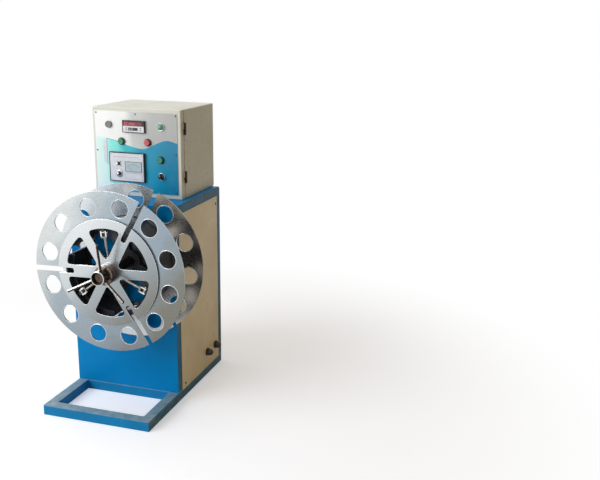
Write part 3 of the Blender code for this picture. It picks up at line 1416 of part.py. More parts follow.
def selector_knob(door):
    """Rotary selector with a grip ridge across its face."""
    bezel("selector_bezel", SELECTOR_SPOT_SHARES, door)
    x, z = spot(SELECTOR_SPOT_SHARES)
    radius = (BEZEL_RADIUS - BEZEL_WALL) * FLAT_SHARE - RUNNING_CLEARANCE
    stem = CAP_STEM_RADIUS * FLAT_SHARE
    skirt = bezel_floor() + RUNNING_CLEARANCE
    profile = [
        (0, SELECTOR_LENGTH),
        (radius - CAP_ROUND, SELECTOR_LENGTH),
        (radius, SELECTOR_LENGTH - CAP_ROUND),
        (radius, skirt),
        (stem, skirt),
        (stem, -CAP_STEM_DEPTH),
        (0, -CAP_STEM_DEPTH),
    ]
    knob = turned("raw_knob", "black_plastic", profile, (x, PLATE_FRONT, z), steps=SMALL_STEPS, closed=False)
    face = PLATE_FRONT - SELECTOR_LENGTH
    reach = radius - CAP_ROUND
    low = (x - SELECTOR_RIDGE / 2, face - SELECTOR_RIDGE_RISE, z - reach)
    ridge = raw_box(low, (x + SELECTOR_RIDGE / 2, face + SELECTOR_RIDGE_RISE, z + reach))
    empty = axis_empty("selector_axis", (x, PLATE_FRONT, z))
    hang(empty, door)
    hang(place_mesh("selector_knob", "black_plastic", joined("selector_knob", [knob, ridge])), empty)


def lamp_and_buzzer(door):
    """Green run lamp and grey buzzer, each with its neck through the door."""
    x, z = spot(LAMP_SPOT_SHARES)
    turns = [QUARTER * k / LAMP_DOME_RINGS for k in range(LAMP_DOME_RINGS + 1)]
    dome = [(LAMP_DOME_RADIUS * sin(t), BEZEL_PROUD + LAMP_DOME_RISE * cos(t)) for t in turns]
    neck = [
        (BEZEL_RADIUS, BEZEL_PROUD),
        (BEZEL_RADIUS, SEAT),
        (BEZEL_NECK_RADIUS, SEAT),
        (BEZEL_NECK_RADIUS, -NECK_LENGTH),
        (0, -NECK_LENGTH),
    ]
    lamp = turned("run_lamp", "green_plastic", dome + neck, (x, PLATE_FRONT, z), steps=SMALL_STEPS, closed=False)
    hang(lamp, door)
    x, z = spot(BUZZER_SPOT_SHARES)
    cap = [
        (0, BUZZER_PROUD),
        (BUZZER_RADIUS - CAP_ROUND, BUZZER_PROUD),
        (BUZZER_RADIUS, BUZZER_PROUD - CAP_ROUND),
        (BUZZER_RADIUS, SEAT),
    ]
    profile = cap + neck[2:]
    hang(turned("buzzer", "grey_plastic", profile, (x, PLATE_FRONT, z), steps=SMALL_STEPS, closed=False), door)


def speed_knob(door):
    """Knob of the speed setting."""
    x, z = unit_spot(KNOB_SPOT_SHARES)
    place = (x, unit_front(), z)
    top = KNOB_RADIUS - KNOB_SKIRT
    profile = [
        (0, KNOB_LENGTH),
        (top, KNOB_LENGTH),
        (top, 2 * KNOB_SKIRT),
        (KNOB_RADIUS, KNOB_SKIRT),
        (KNOB_RADIUS, SEAT),
        (0, SEAT),
    ]
    empty = axis_empty("knob_axis", place)
    hang(empty, door)
    hang(turned("speed_knob", "black_plastic", profile, place, steps=SMALL_STEPS, closed=False), empty)


def toggle_lever(door):
    """Lever of the switch, tipped up."""
    x, z = unit_spot(TOGGLE_SPOT_SHARES)
    pivot = (x, unit_front() - TOGGLE_BUSH_LENGTH, z)
    empty = axis_empty("toggle_axis", pivot)
    hang(empty, door)
    shape = bmesh.new()
    direction = Vector((0, -cos(TOGGLE_TILT), sin(TOGGLE_TILT)))
    start = Vector(pivot) + direction * TOGGLE_START
    end = Vector(pivot) + direction * TOGGLE_LENGTH
    add_rod(shape, start, end, TOGGLE_RADIUS, PIN_STEPS, TOGGLE_TIP_RADIUS)
    hang(dress(mesh_object("toggle_lever", shape), "bright_chrome"), empty)


def control_box():
    """Control box on the cabinet, its door and what the door carries."""
    box_body()
    mounting_plate()
    control_gear()
    door = axis_empty("door_axis", (HINGE_X, HINGE_Y, BOX_MIDDLE))
    box_door(door)
    faceplate(door)
    counter(door)
    speed_unit(door)
    push_button("red_button", "red_plastic", RED_SPOT_SHARES, door)
    push_button("green_button_left", "green_plastic", GREEN_LEFT_SPOT_SHARES, door)
    push_button("green_button_right", "green_plastic", GREEN_RIGHT_SPOT_SHARES, door)
    selector_knob(door)
    lamp_and_buzzer(door)
    speed_knob(door)
    toggle_lever(door)


def cabinet():
    """Frame, panels and the drive inside the cabinet."""
    base_frame()
    upright_frame()
    floor_panel()
    front_panel()
    top_panel()
    side_panel("side_panel_left", -1)
    right = side_panel("side_panel_right", 1)
    apply_boolean(right, gland_hole_cutter("gland_holes"), "DIFFERENCE")
    back_panel()
    cable_glands()
    bearing_shelf()
    bearing_housings()
    gear_motor()
    motor_bracket()
    motor_pulley()
    drive_belt()
    rotation_sensor()


cabinet()
reel()
control_box()
bpy.context.view_layer.update()
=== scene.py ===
"""Looks of the wire coil winding machine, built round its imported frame.

Metres, +Z up, the front faces -Y.  The reel turns about a line along Y at SHAFT_HEIGHT.
"""

from math import asin, atan2, cos, hypot, pi, radians, sin

import bmesh
import bpy
from mathutils import Matrix, Vector


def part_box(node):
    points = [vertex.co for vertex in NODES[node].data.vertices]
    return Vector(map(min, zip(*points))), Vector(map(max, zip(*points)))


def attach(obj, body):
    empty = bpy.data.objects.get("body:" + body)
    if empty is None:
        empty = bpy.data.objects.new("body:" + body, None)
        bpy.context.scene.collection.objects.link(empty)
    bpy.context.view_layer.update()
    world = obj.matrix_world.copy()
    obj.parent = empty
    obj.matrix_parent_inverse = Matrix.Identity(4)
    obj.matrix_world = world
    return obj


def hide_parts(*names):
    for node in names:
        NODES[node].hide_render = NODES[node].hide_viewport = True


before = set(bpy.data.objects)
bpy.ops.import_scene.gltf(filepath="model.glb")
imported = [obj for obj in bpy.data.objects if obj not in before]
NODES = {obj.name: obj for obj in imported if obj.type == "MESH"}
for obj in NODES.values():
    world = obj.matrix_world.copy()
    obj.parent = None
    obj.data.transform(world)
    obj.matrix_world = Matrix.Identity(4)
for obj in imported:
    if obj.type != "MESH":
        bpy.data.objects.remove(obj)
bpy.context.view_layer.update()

# Sizes that the looks share with the solids: the reel
SHAFT_HEIGHT, SHAFT_RADIUS = 0.588, 0.020
SHAFT = (0, 0, SHAFT_HEIGHT)
FLANGE_RADIUS, SECTOR_INNER, SPIDER_RADIUS = 0.3048, 0.180, 0.204
HOLE_RADIUS, HOLE_CIRCLE = 0.033, 0.249
SLOT_WIDTH, SLOT_ROOT, SLOT_ROUND = 0.020, 0.140, 0.008
SLOT_SPOKE, PLAIN_SPOKE = 0.047, 0.037
WINDOW_RADIUS, WINDOW_FILLET = 0.168, 0.012
FRONT_TURN, REAR_TURN = radians(1.9), radians(7.0)
SHAFT_BORE, FRONT_BORE = SHAFT_RADIUS + 0.0003, 0.0263
QUARTER = pi / 2
CLAW_TURNS = [QUARTER + REAR_TURN + 2 * pi * k / 3 for k in range(3)]
CORE_RADIUS, CORE_INNER, RIB_INNER, SHOE_INNER = 0.178, 0.172, 0.158, 0.112
CLAW_SEAT = 0.175
RAIL_HALF, SHOE_HALF, SHOE_DEPTH = 0.0103, 0.0183, 0.0063
LINK_OUTER, LINK_AHEAD, LUG_HALF, FORK_LENGTH = 0.148, 0.187, 0.0088, 0.0130
NUT_ARM_START, NUT_ARM_RAKE = radians(85.5), radians(16.0)
NUT_ARM_REACH, NUT_ARM_ROOT = 0.130, 0.0255

# The cabinet
CABINET_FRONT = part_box("front_panel")[0].y
TOP_LOW, TOP_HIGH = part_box("top_panel")
CABINET_LEFT, CABINET_RIGHT = TOP_LOW.x, TOP_HIGH.x
CABINET_BACK, CABINET_TOP = TOP_HIGH.y, TOP_HIGH.z
TUBE = 0.040
CORNER_ROUND = 0.014

# The control box and its door
BOX_LOW, BOX_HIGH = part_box("box_body")
PLATE_LOW, PLATE_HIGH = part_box("faceplate")
BOX_BASE, BOX_HEIGHT = 0.8033, 0.3504
BOX_RIGHT, BOX_MIDDLE = 0.1469, -0.0435
DOOR_BACK, CASE_FRONT = 0.0810, 0.0840
HINGE_SHARES = (0.25, 0.79)
HINGE_LEVELS = [BOX_BASE + share * BOX_HEIGHT for share in HINGE_SHARES]
HINGE_MIDDLE = BOX_BASE + BOX_HEIGHT * sum(HINGE_SHARES) / 2
HINGE_REACH = BOX_HEIGHT * (HINGE_SHARES[1] - HINGE_SHARES[0]) / 2
HINGE_X, HINGE_Y = 0.1524, 0.0825109
BUTTON_HOLE = 0.0113
SWITCH_SHARE = 0.1145
PRINT_DEPTH = 0.0002
BUTTONS = ("red_button", "green_button_left", "green_button_right")

# The camera, solved from the photograph: place, yaw, pitch and roll, and lens in mm
CAMERA_PLACE = (1.4860, -2.7946, 1.4876)
CAMERA_TURNS = radians(16.697), radians(15.073), radians(0.877)
CAMERA_LENS = 48.656

# Shaping
SHARP = radians(32)
SAME_PLACE, SAME_PLANE = 0.000005, radians(0.5)
CUT_MARGIN = 0.01
FORWARD = (0, -1, 0)


# Materials

def linear(code):
    """A linear colour from an sRGB hex code."""
    made = []
    for start in (0, 2, 4):
        value = int(code[start:start + 2], 16) / 255
        made.append(value / 12.92 if value <= 0.04045 else ((value + 0.055) / 1.055) ** 2.4)
    return (*made, 1.0)


def add(tree, kind, settings=None, links=None, stops=()):
    """A shader node with its settings, links and colour stops.

    A link's key is a socket, its value the source's.  A stop is a position with a hex code or a level of grey.
    """
    node = tree.nodes.new(kind)
    for key, value in (settings or {}).items():
        if isinstance(key, int) or key in node.inputs:
            node.inputs[key].default_value = value
        else:
            setattr(node, key, value)
    for key, source in (links or {}).items():
        tree.links.new(source, node.inputs[key])
    if stops:
        marks = node.color_ramp.elements
        while len(marks) < len(stops):
            marks.new(0.5)
        for mark, (position, tone) in zip(marks, stops):
            mark.position = position
            mark.color = linear(tone) if isinstance(tone, str) else (tone, tone, tone, 1.0)
    return node


def material(title, settings):
    """A new Principled material with values on its shader: the material, its tree and its shader."""
    made = bpy.data.materials.new(title)
    made.use_nodes = True
    shader = made.node_tree.nodes["Principled BSDF"]
    for socket, value in settings.items():
        shader.inputs[socket].default_value = value
    return made, made.node_tree, shader


def place_on(tree, scale=(1, 1, 1), turn=(0, 0, 0)):
    """Object coordinates through a mapping."""
    coordinates = add(tree, "ShaderNodeTexCoord")
    mapping = add(
        tree, "ShaderNodeMapping", {"Scale": scale, "Rotation": turn}, {"Vector": coordinates.outputs["Object"]}
    )
    return mapping.outputs["Vector"]


def tint(tree, shader, source, stops):
    """A base colour that follows a pattern; the node with its stops."""
    tones = add(tree, "ShaderNodeValToRGB", None, {"Fac": source}, stops)
    tree.links.new(tones.outputs["Color"], shader.inputs["Base Color"])
    return tones


def polish(tree, shader, source, dull, glossy, low=0.3, high=0.7):
    """A roughness that follows a pattern, from dull to glossy."""
    levels = add(tree, "ShaderNodeValToRGB", None, {"Fac": source}, [(low, dull), (high, glossy)])
    tree.links.new(levels.outputs["Color"], shader.inputs["Roughness"])


def relief(tree, shader, place, spacing, detail, strength, depth):
    """Fine relief in the surface, its grains a spacing apart."""
    grain = add(tree, "ShaderNodeTexNoise", {"Scale": 1 / spacing, "Detail": detail}, {"Vector": place})
    bump = add(tree, "ShaderNodeBump", {"Strength": strength, "Distance": depth}, {"Height": grain.outputs["Fac"]})
    tree.links.new(bump.outputs["Normal"], shader.inputs["Normal"])


def cover(made, mask, share, source, stops):
    """Second tones over a material's colour, where a mask is and as strongly as a share says."""
    tree = made.node_tree
    colour = tree.nodes["Principled BSDF"].inputs["Base Color"]
    tones = add(tree, "ShaderNodeValToRGB", None, {"Fac": source}, stops)
    amount = add(tree, "ShaderNodeMath", {"operation": "MULTIPLY", 1: share}, {0: mask})
    mixed = add(
        tree, "ShaderNodeMix", {"data_type": "RGBA"},
        {"Factor": amount.outputs[0], 6: colour.links[0].from_socket, 7: tones.outputs["Color"]},
    )
    tree.links.new(mixed.outputs[2], colour)


def apart(tree, along, middle):
    """How far a coordinate is from a middle value, to either side."""
    off = add(tree, "ShaderNodeMath", {"operation": "SUBTRACT", 1: middle}, {0: along})
    return add(tree, "ShaderNodeMath", {"operation": "ABSOLUTE"}, {0: off.outputs[0]}).outputs[0]


def enamel(title, base, worn, specular=0.18):
    """Sprayed enamel on sheet steel: even colour, soft gloss, a fine orange peel and faint dust."""
    made, tree, shader = material(title, {"Specular IOR Level": specular})
    place = place_on(tree)
    blotch, peel, peel_spacing = 0.18, 0.00025, 0.0022
    cloud = add(
        tree, "ShaderNodeTexNoise", {"Scale": 1 / blotch, "Detail": 6.0, "Roughness": 0.6}, {"Vector": place}
    ).outputs["Fac"]
    tint(tree, shader, cloud, [(0.30, worn), (0.62, base)])
    polish(tree, shader, cloud, 0.40, 0.26, 0.35, 0.65)
    relief(tree, shader, place, peel_spacing, 2.0, 0.35, peel)
    return made


def metal(title, base, dark, roughness, grain, scratch, blotch, stretch=1, amount=0.4, metallic=1.0):
    """Bare metal: a light and a dark tone in clouds, a roughness that varies, and fine tool marks."""
    made, tree, shader = material(title, {"Metallic": metallic})
    cloud = add(
        tree, "ShaderNodeTexNoise", {"Scale": 1 / blotch, "Detail": 7.0, "Roughness": 0.65},
        {"Vector": place_on(tree)},
    ).outputs["Fac"]
    tint(tree, shader, cloud, [(0.5 - amount / 2, dark), (0.5 + amount / 2, base)])
    polish(tree, shader, cloud, roughness[1], roughness[0])
    relief(tree, shader, place_on(tree, (1, stretch, 1)), grain, 4.0, 0.5, scratch)
    return made


def plate_painted_light(title, stops, reach, lean, roughness, drift=0.22):
    """Aluminium plate painted brighter towards one side and darker towards the other as light and reflection, cloudy,
    with fine rubbing marks.
    """
    made, tree, shader = material(title, {"Metallic": 1.0})
    # Painted light and reflection: a ramp across the plate from light to dark
    leaning = add(tree, "ShaderNodeSeparateXYZ", None, {"Vector": place_on(tree, turn=(0, lean, 0))})
    middle = SHAFT_HEIGHT * sin(lean)
    across = add(
        tree, "ShaderNodeMapRange", {"From Min": middle - reach, "From Max": middle + reach},
        {"Value": leaning.outputs["X"]},
    )
    cloud = add(
        tree, "ShaderNodeTexNoise", {"Scale": 6.0, "Detail": 7.0, "Roughness": 0.62}, {"Vector": place_on(tree)}
    )
    shift = add(tree, "ShaderNodeMapRange", {"To Min": -drift, "To Max": drift}, {"Value": cloud.outputs["Fac"]})
    total = add(tree, "ShaderNodeMath", {"operation": "ADD"}, {0: across.outputs[0], 1: shift.outputs[0]})
    tint(tree, shader, total.outputs[0], stops)
    rubbed = add(
        tree, "ShaderNodeTexNoise", {"Scale": 420.0, "Detail": 3.0},
        {"Vector": place_on(tree, (0.12, 1, 1), (0, 0.4, 0))},
    )
    polish(tree, shader, rubbed.outputs["Fac"], roughness[1], roughness[0])
    return made


def bar_painted_light(title, lit_side, stops, roughness):
    """Turned or drawn steel, painted bright on the faces that look one way as a highlight and dark on the others as
    shade, with random oil stains.
    """
    made, tree, shader = material(title, {"Metallic": 1.0})
    # Painted light and shade: the colour follows which way each face looks
    coordinates = add(tree, "ShaderNodeTexCoord")
    side = add(
        tree, "ShaderNodeVectorMath", {"operation": "DOT_PRODUCT", 1: lit_side},
        {0: coordinates.outputs["Normal"]},
    )
    stain = add(
        tree, "ShaderNodeTexNoise", {"Scale": 110.0, "Detail": 6.0, "Roughness": 0.65}, {"Vector": place_on(tree)}
    ).outputs["Fac"]
    shift = add(tree, "ShaderNodeMapRange", {"To Min": -0.45, "To Max": 0.45}, {"Value": stain})
    total = add(tree, "ShaderNodeMath", {"operation": "ADD"}, {0: side.outputs["Value"], 1: shift.outputs[0]})
    share = add(tree, "ShaderNodeMapRange", {"From Min": -1.0, "From Max": 1.0}, {"Value": total.outputs[0]})
    tint(tree, shader, share.outputs[0], stops)
    polish(tree, shader, stain, roughness[1], roughness[0])
    return made


def fork_milled_and_highlit():
    """Plated link: a dull grey rod whose fork is milled bare and painted near white as a highlight."""
    made = metal("plated_link_steel", "A8A59E", "85817B", (0.24, 0.36), 0.003, 0.00003, 0.012)
    tree = made.node_tree
    parts = add(tree, "ShaderNodeSeparateXYZ", None, {"Vector": place_on(tree)})
    level = add(tree, "ShaderNodeMath", {"operation": "SUBTRACT", 1: SHAFT_HEIGHT}, {0: parts.outputs["Z"]})
    flat = add(tree, "ShaderNodeCombineXYZ", None, {"X": parts.outputs["X"], "Y": level.outputs[0]})
    out = add(tree, "ShaderNodeVectorMath", {"operation": "LENGTH"}, {0: flat.outputs[0]})
    root = LINK_OUTER - FORK_LENGTH
    fork_zone = add(
        tree, "ShaderNodeMapRange", {"From Min": root, "From Max": root + 0.0006}, {"Value": out.outputs["Value"]}
    ).outputs[0]
    # Painted highlight: the fork beyond its root near white
    cover(made, fork_zone, 1.0, fork_zone, [(0.0, "F4F2EF"), (1.0, "F4F2EF")])
    return made


def plastic(title, base, shade, roughness, coat=0.0):
    """Moulded plastic: one colour with a faint cloud and the fine texture of its mould."""
    made, tree, shader = material(title, {"Roughness": roughness, "Coat Weight": coat, "Coat Roughness": 0.08})
    place = place_on(tree)
    cloud = add(tree, "ShaderNodeTexNoise", {"Scale": 60.0, "Detail": 3.0}, {"Vector": place}).outputs["Fac"]
    tint(tree, shader, cloud, [(0.35, shade), (0.65, base)])
    grit, grit_depth = 0.0006, 0.00004
    relief(tree, shader, place, grit, 2.0, 0.3, grit_depth)
    return made


def enamel_painted_side_shade():
    """Blue enamel of the upright frame, painted darker and greyer on the faces that look sideways as shade."""
    made = enamel("blue_enamel_painted_side_shade", "0082C6", "007ABA", 0.06)
    tree = made.node_tree
    place = place_on(tree)
    parts = add(tree, "ShaderNodeSeparateXYZ", None, {"Vector": place})
    half = (CABINET_RIGHT - CABINET_LEFT) / 2
    side = add(
        tree, "ShaderNodeMapRange", {"From Min": half - 0.0012, "From Max": half - 0.0002},
        {"Value": apart(tree, parts.outputs["X"], (CABINET_LEFT + CABINET_RIGHT) / 2)},
    )
    cloud = add(tree, "ShaderNodeTexNoise", {"Scale": 14.0, "Detail": 6.0, "Roughness": 0.65}, {"Vector": place})
    # Painted shade: the side faces darker and greyer
    cover(made, side.outputs[0], 0.94, cloud.outputs["Fac"], [(0.35, "3A5F78"), (0.65, "4E758F")])
    return made


def foot_enamel():
    """Blue enamel of the foot, painted darker on its right side as shade, and paler in patches on its upper faces."""
    made = enamel("blue_foot_enamel_painted_shade", "0F84BE", "0F7AB0")
    tree = made.node_tree
    place = place_on(tree)
    parts = add(tree, "ShaderNodeSeparateXYZ", None, {"Vector": place})
    patch_noise = add(tree, "ShaderNodeTexNoise", {"Scale": 22.0, "Detail": 8.0, "Roughness": 0.7}, {"Vector": place})
    # Painted shade on the right side; paler patches on the upper faces
    for axis, start, end, stops in (
        ("X", CABINET_RIGHT - 0.0015, CABINET_RIGHT - 0.0003, [(0.36, "2E5F7C"), (0.52, "42687A"), (0.70, "7D9298")]),
        ("Z", TUBE - 0.004, TUBE + 0.001, [(0.36, "7C9FB0"), (0.52, "A0B4B6"), (0.70, "C2CECF")]),
    ):
        mask = add(tree, "ShaderNodeMapRange", {"From Min": start, "From Max": end}, {"Value": parts.outputs[axis]})
        cover(made, mask.outputs[0], 0.90, patch_noise.outputs["Fac"], stops)
    return made


def chipped_cream():
    """The cream enamel of the box: painted greyer on its sides as shade, and dark brown along the edge with the hinges,
    partly rust chips and partly painted shadow of the door gap.
    """
    made = enamel("cream_enamel_rust_and_painted_shade", "E2E3DA", "D7D8CC")
    tree = made.node_tree
    place = place_on(tree)
    parts = add(tree, "ShaderNodeSeparateXYZ", None, {"Vector": place})
    seam = (DOOR_BACK + CASE_FRONT) / 2
    near = add(
        tree, "ShaderNodeMapRange", {"From Min": 0.0015, "From Max": 0.016, "To Min": 0.10, "To Max": -0.2},
        {"Value": apart(tree, parts.outputs["Y"], seam)},
    )
    hinge = add(
        tree, "ShaderNodeMapRange", {"From Min": 0.020, "From Max": 0.050, "To Min": 0.09, "To Max": -0.05},
        {"Value": apart(tree, apart(tree, parts.outputs["Z"], HINGE_MIDDLE), HINGE_REACH)},
    )
    right = add(
        tree, "ShaderNodeMapRange", {"From Min": 0.138, "From Max": 0.146, "To Min": -0.5},
        {"Value": parts.outputs["X"]},
    )
    chips = add(
        tree, "ShaderNodeTexNoise", {"Scale": 70.0, "Detail": 6.0, "Roughness": 0.7}, {"Vector": place}
    ).outputs["Fac"]
    spread = add(tree, "ShaderNodeMath", {"operation": "ADD"}, {0: near.outputs[0], 1: hinge.outputs[0]})
    total = add(tree, "ShaderNodeMath", {"operation": "ADD"}, {0: spread.outputs[0], 1: chips})
    whole = add(tree, "ShaderNodeMath", {"operation": "MINIMUM"}, {0: total.outputs[0], 1: right.outputs[0]})
    rust_and_gap_shade = add(tree, "ShaderNodeMapRange", {"From Min": 0.62, "From Max": 0.68}, {"Value": whole.outputs[0]})
    half = BOX_RIGHT - BOX_MIDDLE
    side = add(
        tree, "ShaderNodeMapRange", {"From Min": half - 0.0010, "From Max": half - 0.0002},
        {"Value": apart(tree, parts.outputs["X"], BOX_MIDDLE)},
    )
    # Painted shade: the side faces greyer and darker
    cover(made, side.outputs[0], 1.0, chips, [(0.35, "BDBAA6"), (0.65, "C8C5B2")])
    # Rust chips along the door edge near the hinges, and painted shadow of the door gap
    cover(made, rust_and_gap_shade.outputs[0], 1.0, chips, [(0.4, "2E2118"), (0.6, "5B3B26")])
    return made


def film_painted_glare(title, stops, roughness, coat, metallic=0.0):
    """Printed polyester film whose colour runs across the plate, painted lighter towards the left as glare."""
    made, tree, shader = material(
        title, {"Roughness": roughness, "Metallic": metallic, "Coat Weight": coat, "Coat Roughness": 0.06}
    )
    place = place_on(tree)
    parts = add(tree, "ShaderNodeSeparateXYZ", None, {"Vector": place})
    across = add(
        tree, "ShaderNodeMapRange", {"From Min": PLATE_LOW.x, "From Max": PLATE_HIGH.x}, {"Value": parts.outputs["X"]}
    )
    cloud = add(tree, "ShaderNodeTexNoise", {"Scale": 9.0, "Detail": 4.0, "Roughness": 0.55}, {"Vector": place})
    shift = add(tree, "ShaderNodeMapRange", {"To Min": -0.10, "To Max": 0.10}, {"Value": cloud.outputs["Fac"]})
    mixed = add(tree, "ShaderNodeMath", {"operation": "ADD"}, {0: across.outputs[0], 1: shift.outputs[0]})
    # Painted glare: lighter towards the plate's left edge
    tint(tree, shader, mixed.outputs[0], stops).color_ramp.interpolation = "EASE"
    return made


# Sprayed enamel on sheet steel: deep even blue, soft gloss with a fine orange peel
BLUE = enamel("blue_enamel_on_sheet_steel", "0089CF", "0080C2", 0.10)
BLUE_FRAME = enamel_painted_side_shade()
BLUE_FOOT = foot_enamel()
# The same enamel in cream; the panels have yellowed a little more than the control box
CREAM = enamel("cream_enamel_on_sheet_steel", "E4E1D6", "DAD6C8")
CHIPPED_CREAM = chipped_cream()
PANEL_CREAM = enamel("yellowed_cream_enamel", "DCCDAA", "D0C09B")
# Aluminium plate finished with fine abrasive: pale grey, blurred reflections, painted lighter towards one side and
# darker towards the other as light and reflection
ALUMINIUM = plate_painted_light(
    "satin_aluminium_plate", [(0.05, "D6DADA"), (0.30, "AAB5BC"), (0.70, "97A5B0"), (0.93, "86867F")],
    FLANGE_RADIUS, radians(-30), (0.22, 0.36),
)
# The spider plate inside it, painted brighter towards its left spokes as light
SPOKES = plate_painted_light(
    "aluminium_spider_painted_light",
    [(0.05, "E2E6E8"), (0.33, "CDD3D6"), (0.45, "B5BDC1"), (0.66, "9FA7AB"), (0.98, "888983")],
    SPIDER_RADIUS, radians(-45), (0.20, 0.32), 0.15,
)
# Aluminium plate polished to a soft mirror, painted brown towards its lower right as shade and reflection
MIRROR = plate_painted_light(
    "polished_aluminium_plate", [(0.10, "DDE2E7"), (0.52, "D4D8DC"), (0.82, "A8A299"), (1.0, "625C55")],
    FLANGE_RADIUS, radians(10), (0.22, 0.30), 0.25,
)
# The same aluminium where a hole's edge was broken and rubbed, painted brighter as a highlight
RIM_PAINTED_HIGHLIGHT = metal("rubbed_aluminium_painted_highlight", "E4E8EA", "D2D8DC", (0.20, 0.30), 0.004, 0.00001, 0.03)
# The rear spokes behind the core, painted dark as shade
SPOKES_PAINTED_SHADE = metal("aluminium_plate_painted_shade", "66686B", "3A3B3D", (0.26, 0.40), 0.004, 0.00002, 0.05)
# Sawn plate edge of the spiders, painted dark as shade, dull, with marks across its thickness
EDGE_PAINTED_SHADE = metal("plate_edge_painted_shade", "3C3936", "282522", (0.40, 0.60), 0.0015, 0.00008, 0.01, 8)
# Hard chrome: bright and slightly warm
CHROME = metal("chromed_steel", "DAD9D8", "C6C4C3", (0.08, 0.16), 0.003, 0.00002, 0.03)
# Drawn bar for the arms of the nut, painted bright on its left faces as a highlight and dark on its other faces as
# shade, with random oil stains
DRAWN = bar_painted_light(
    "drawn_bar_painted_light", (-1.0, -0.1, 0.2),
    [(0.34, "332D29"), (0.50, "827A72"), (0.62, "BDB8B1"), (0.76, "F6F4F1")], (0.14, 0.24),
)
# Zinc plated links: dull grey rods, forks milled bare and painted near white as a highlight
PLATED = fork_milled_and_highlit()
# The boss of the front flange: oil brown, painted bright towards its upper left as a highlight and darker elsewhere as
# shade
BOSS_STEEL = bar_painted_light(
    "oil_browned_boss_painted_light", (-0.5, -0.35, 0.79),
    [(0.34, "43322E"), (0.62, "77665E"), (0.86, "8C8177"), (1.0, "CFCAC4")], (0.20, 0.38),
)
# Bare turned steel browned by oil and handling
OILED = metal("oil_browned_steel", "75655A", "2E2521", (0.22, 0.42), 0.0012, 0.00006, 0.012, 6, 0.45)
# Turned and milled steel, clean: light grey with fine tool marks
MACHINED = metal("bright_machined_steel", "B9BABC", "9B9C9F", (0.22, 0.34), 0.0012, 0.00004, 0.02, 6)
# Hot blacked steel plate: near black with a dull sheen
BLACKED = metal("blacked_steel", "45474C", "2A2B2F", (0.34, 0.50), 0.004, 0.00006, 0.03, metallic=0.6)
# Sand cast iron under machine paint: rough skin
CAST = metal("painted_cast_iron", "3F5560", "33464F", (0.50, 0.65), 0.0020, 0.0003, 0.02, metallic=0.3)
# Hinge steel whose paint has gone: brown rust in spots
RUST = metal(
    "rusty_hinge_steel", "4A3428", "1E1612", (0.50, 0.75), 0.0012, 0.0001, 0.006, amount=0.35, metallic=0.35
)
# Moulded rubber: matt black
RUBBER = plastic("moulded_black_rubber", "1B1B1B", "151515", 0.75)
# Moulded ABS and nylon, each with the fine grit of its mould
BLACK_PLASTIC = plastic("black_moulded_plastic", "1D1E20", "17181A", 0.38)
BROWN_PLASTIC = plastic("brown_black_nylon", "2C221B", "1D1612", 0.36)
GREY_PLASTIC = plastic("grey_moulded_plastic", "8E9092", "868889", 0.45)
WHITE_PLASTIC = plastic("white_moulded_plastic", "E6E8EE", "DEE0E7", 0.40)
RED_PLASTIC = plastic("red_moulded_plastic", "D2555A", "C8494E", 0.28, 0.4)
GREEN_PLASTIC = plastic("green_moulded_plastic", "2A8F66", "23835B", 0.28, 0.4)
# Clear coloured acrylic and display windows: glossy, deep
GREEN_LENS = plastic("green_acrylic_lens", "55A886", "4A9A79", 0.12, 0.6)
RED_DISPLAY = plastic("red_display_window", "8A2F45", "7C273C", 0.10, 0.8)
METER_FACE = plastic("pale_meter_face", "BCD3D8", "B4CCD1", 0.20, 0.6)
# Lit digits and screen print: flat colour, hardly any gloss
RED_DIGITS = plastic("lit_red_digits", "FF8A8A", "FF7C7C", 0.30)
PRINT_INK = plastic("dark_print", "23303A", "1C2831", 0.5)
GREY_INK = plastic("grey_print", "7F8A92", "77828A", 0.5)
# Printed polyester film on the door: silver grey above, a teal field below the wave, both painted lighter towards the
# left as glare
SILVER_FILM = film_painted_glare(
    "silver_film_painted_glare",
    [(0.0, "FAFCFC"), (0.36, "F2F5F4"), (0.47, "CCCFCE"), (0.75, "B9BBBA"), (1.0, "B2B4B2")], 0.28, 0.3, 0.10,
)
TEAL_FILM = film_painted_glare(
    "teal_film_painted_glare",
    [(0.0, "F0FFFC"), (0.09, "DCFFFA"), (0.19, "8CF4EC"), (0.36, "3CC6D6"), (0.58, "0DA0C6"), (1.0, "0784AE")],
    0.28, 0.14,
)


# Shaping

def loose_piece(name, shape):
    """A bmesh as an object that isn't finished yet."""
    mesh = bpy.data.meshes.new(name)
    shape.to_mesh(mesh)
    shape.free()
    piece = bpy.data.objects.new(name, mesh)
    bpy.context.scene.collection.objects.link(piece)
    return piece


def finish_piece(name, shape, finish, body, replaces=(), bevel=0.0, smooth=True, edge_finish=None):
    """A bmesh as a piece that rides on a body, with its finish and rounded edges."""
    shape.normal_update()
    piece = loose_piece(name, shape)
    mesh = piece.data
    mesh.materials.append(finish)
    if edge_finish:
        mesh.materials.append(edge_finish)
    if smooth:
        mesh.shade_smooth()
        mesh.set_sharp_from_angle(angle=SHARP)
    if bevel:
        rounding = piece.modifiers.new("rounded edges", "BEVEL")
        rounding.width = bevel
        rounding.segments = 2
        rounding.limit_method = "ANGLE"
        rounding.angle_limit = SHARP
        rounding.harden_normals = True
        if edge_finish:
            rounding.material = 1
    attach(piece, body)
    if replaces:
        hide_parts(*replaces)
    return piece


def verts_in(geometry):
    """The vertices among mixed geometry."""
    return [item for item in geometry if isinstance(item, bmesh.types.BMVert)]


def joined_to(verts):
    """The given vertices with all that edges join to them."""
    found = fresh = set(verts)
    while fresh:
        fresh = {other for vert in fresh for edge in vert.link_edges for other in edge.verts} - found
        found = found | fresh
    return list(found)


def turn_out(shape, verts):
    """Make the faces at these vertices look outwards."""
    bmesh.ops.recalc_face_normals(shape, faces=list({face for vert in verts for face in vert.link_faces}))


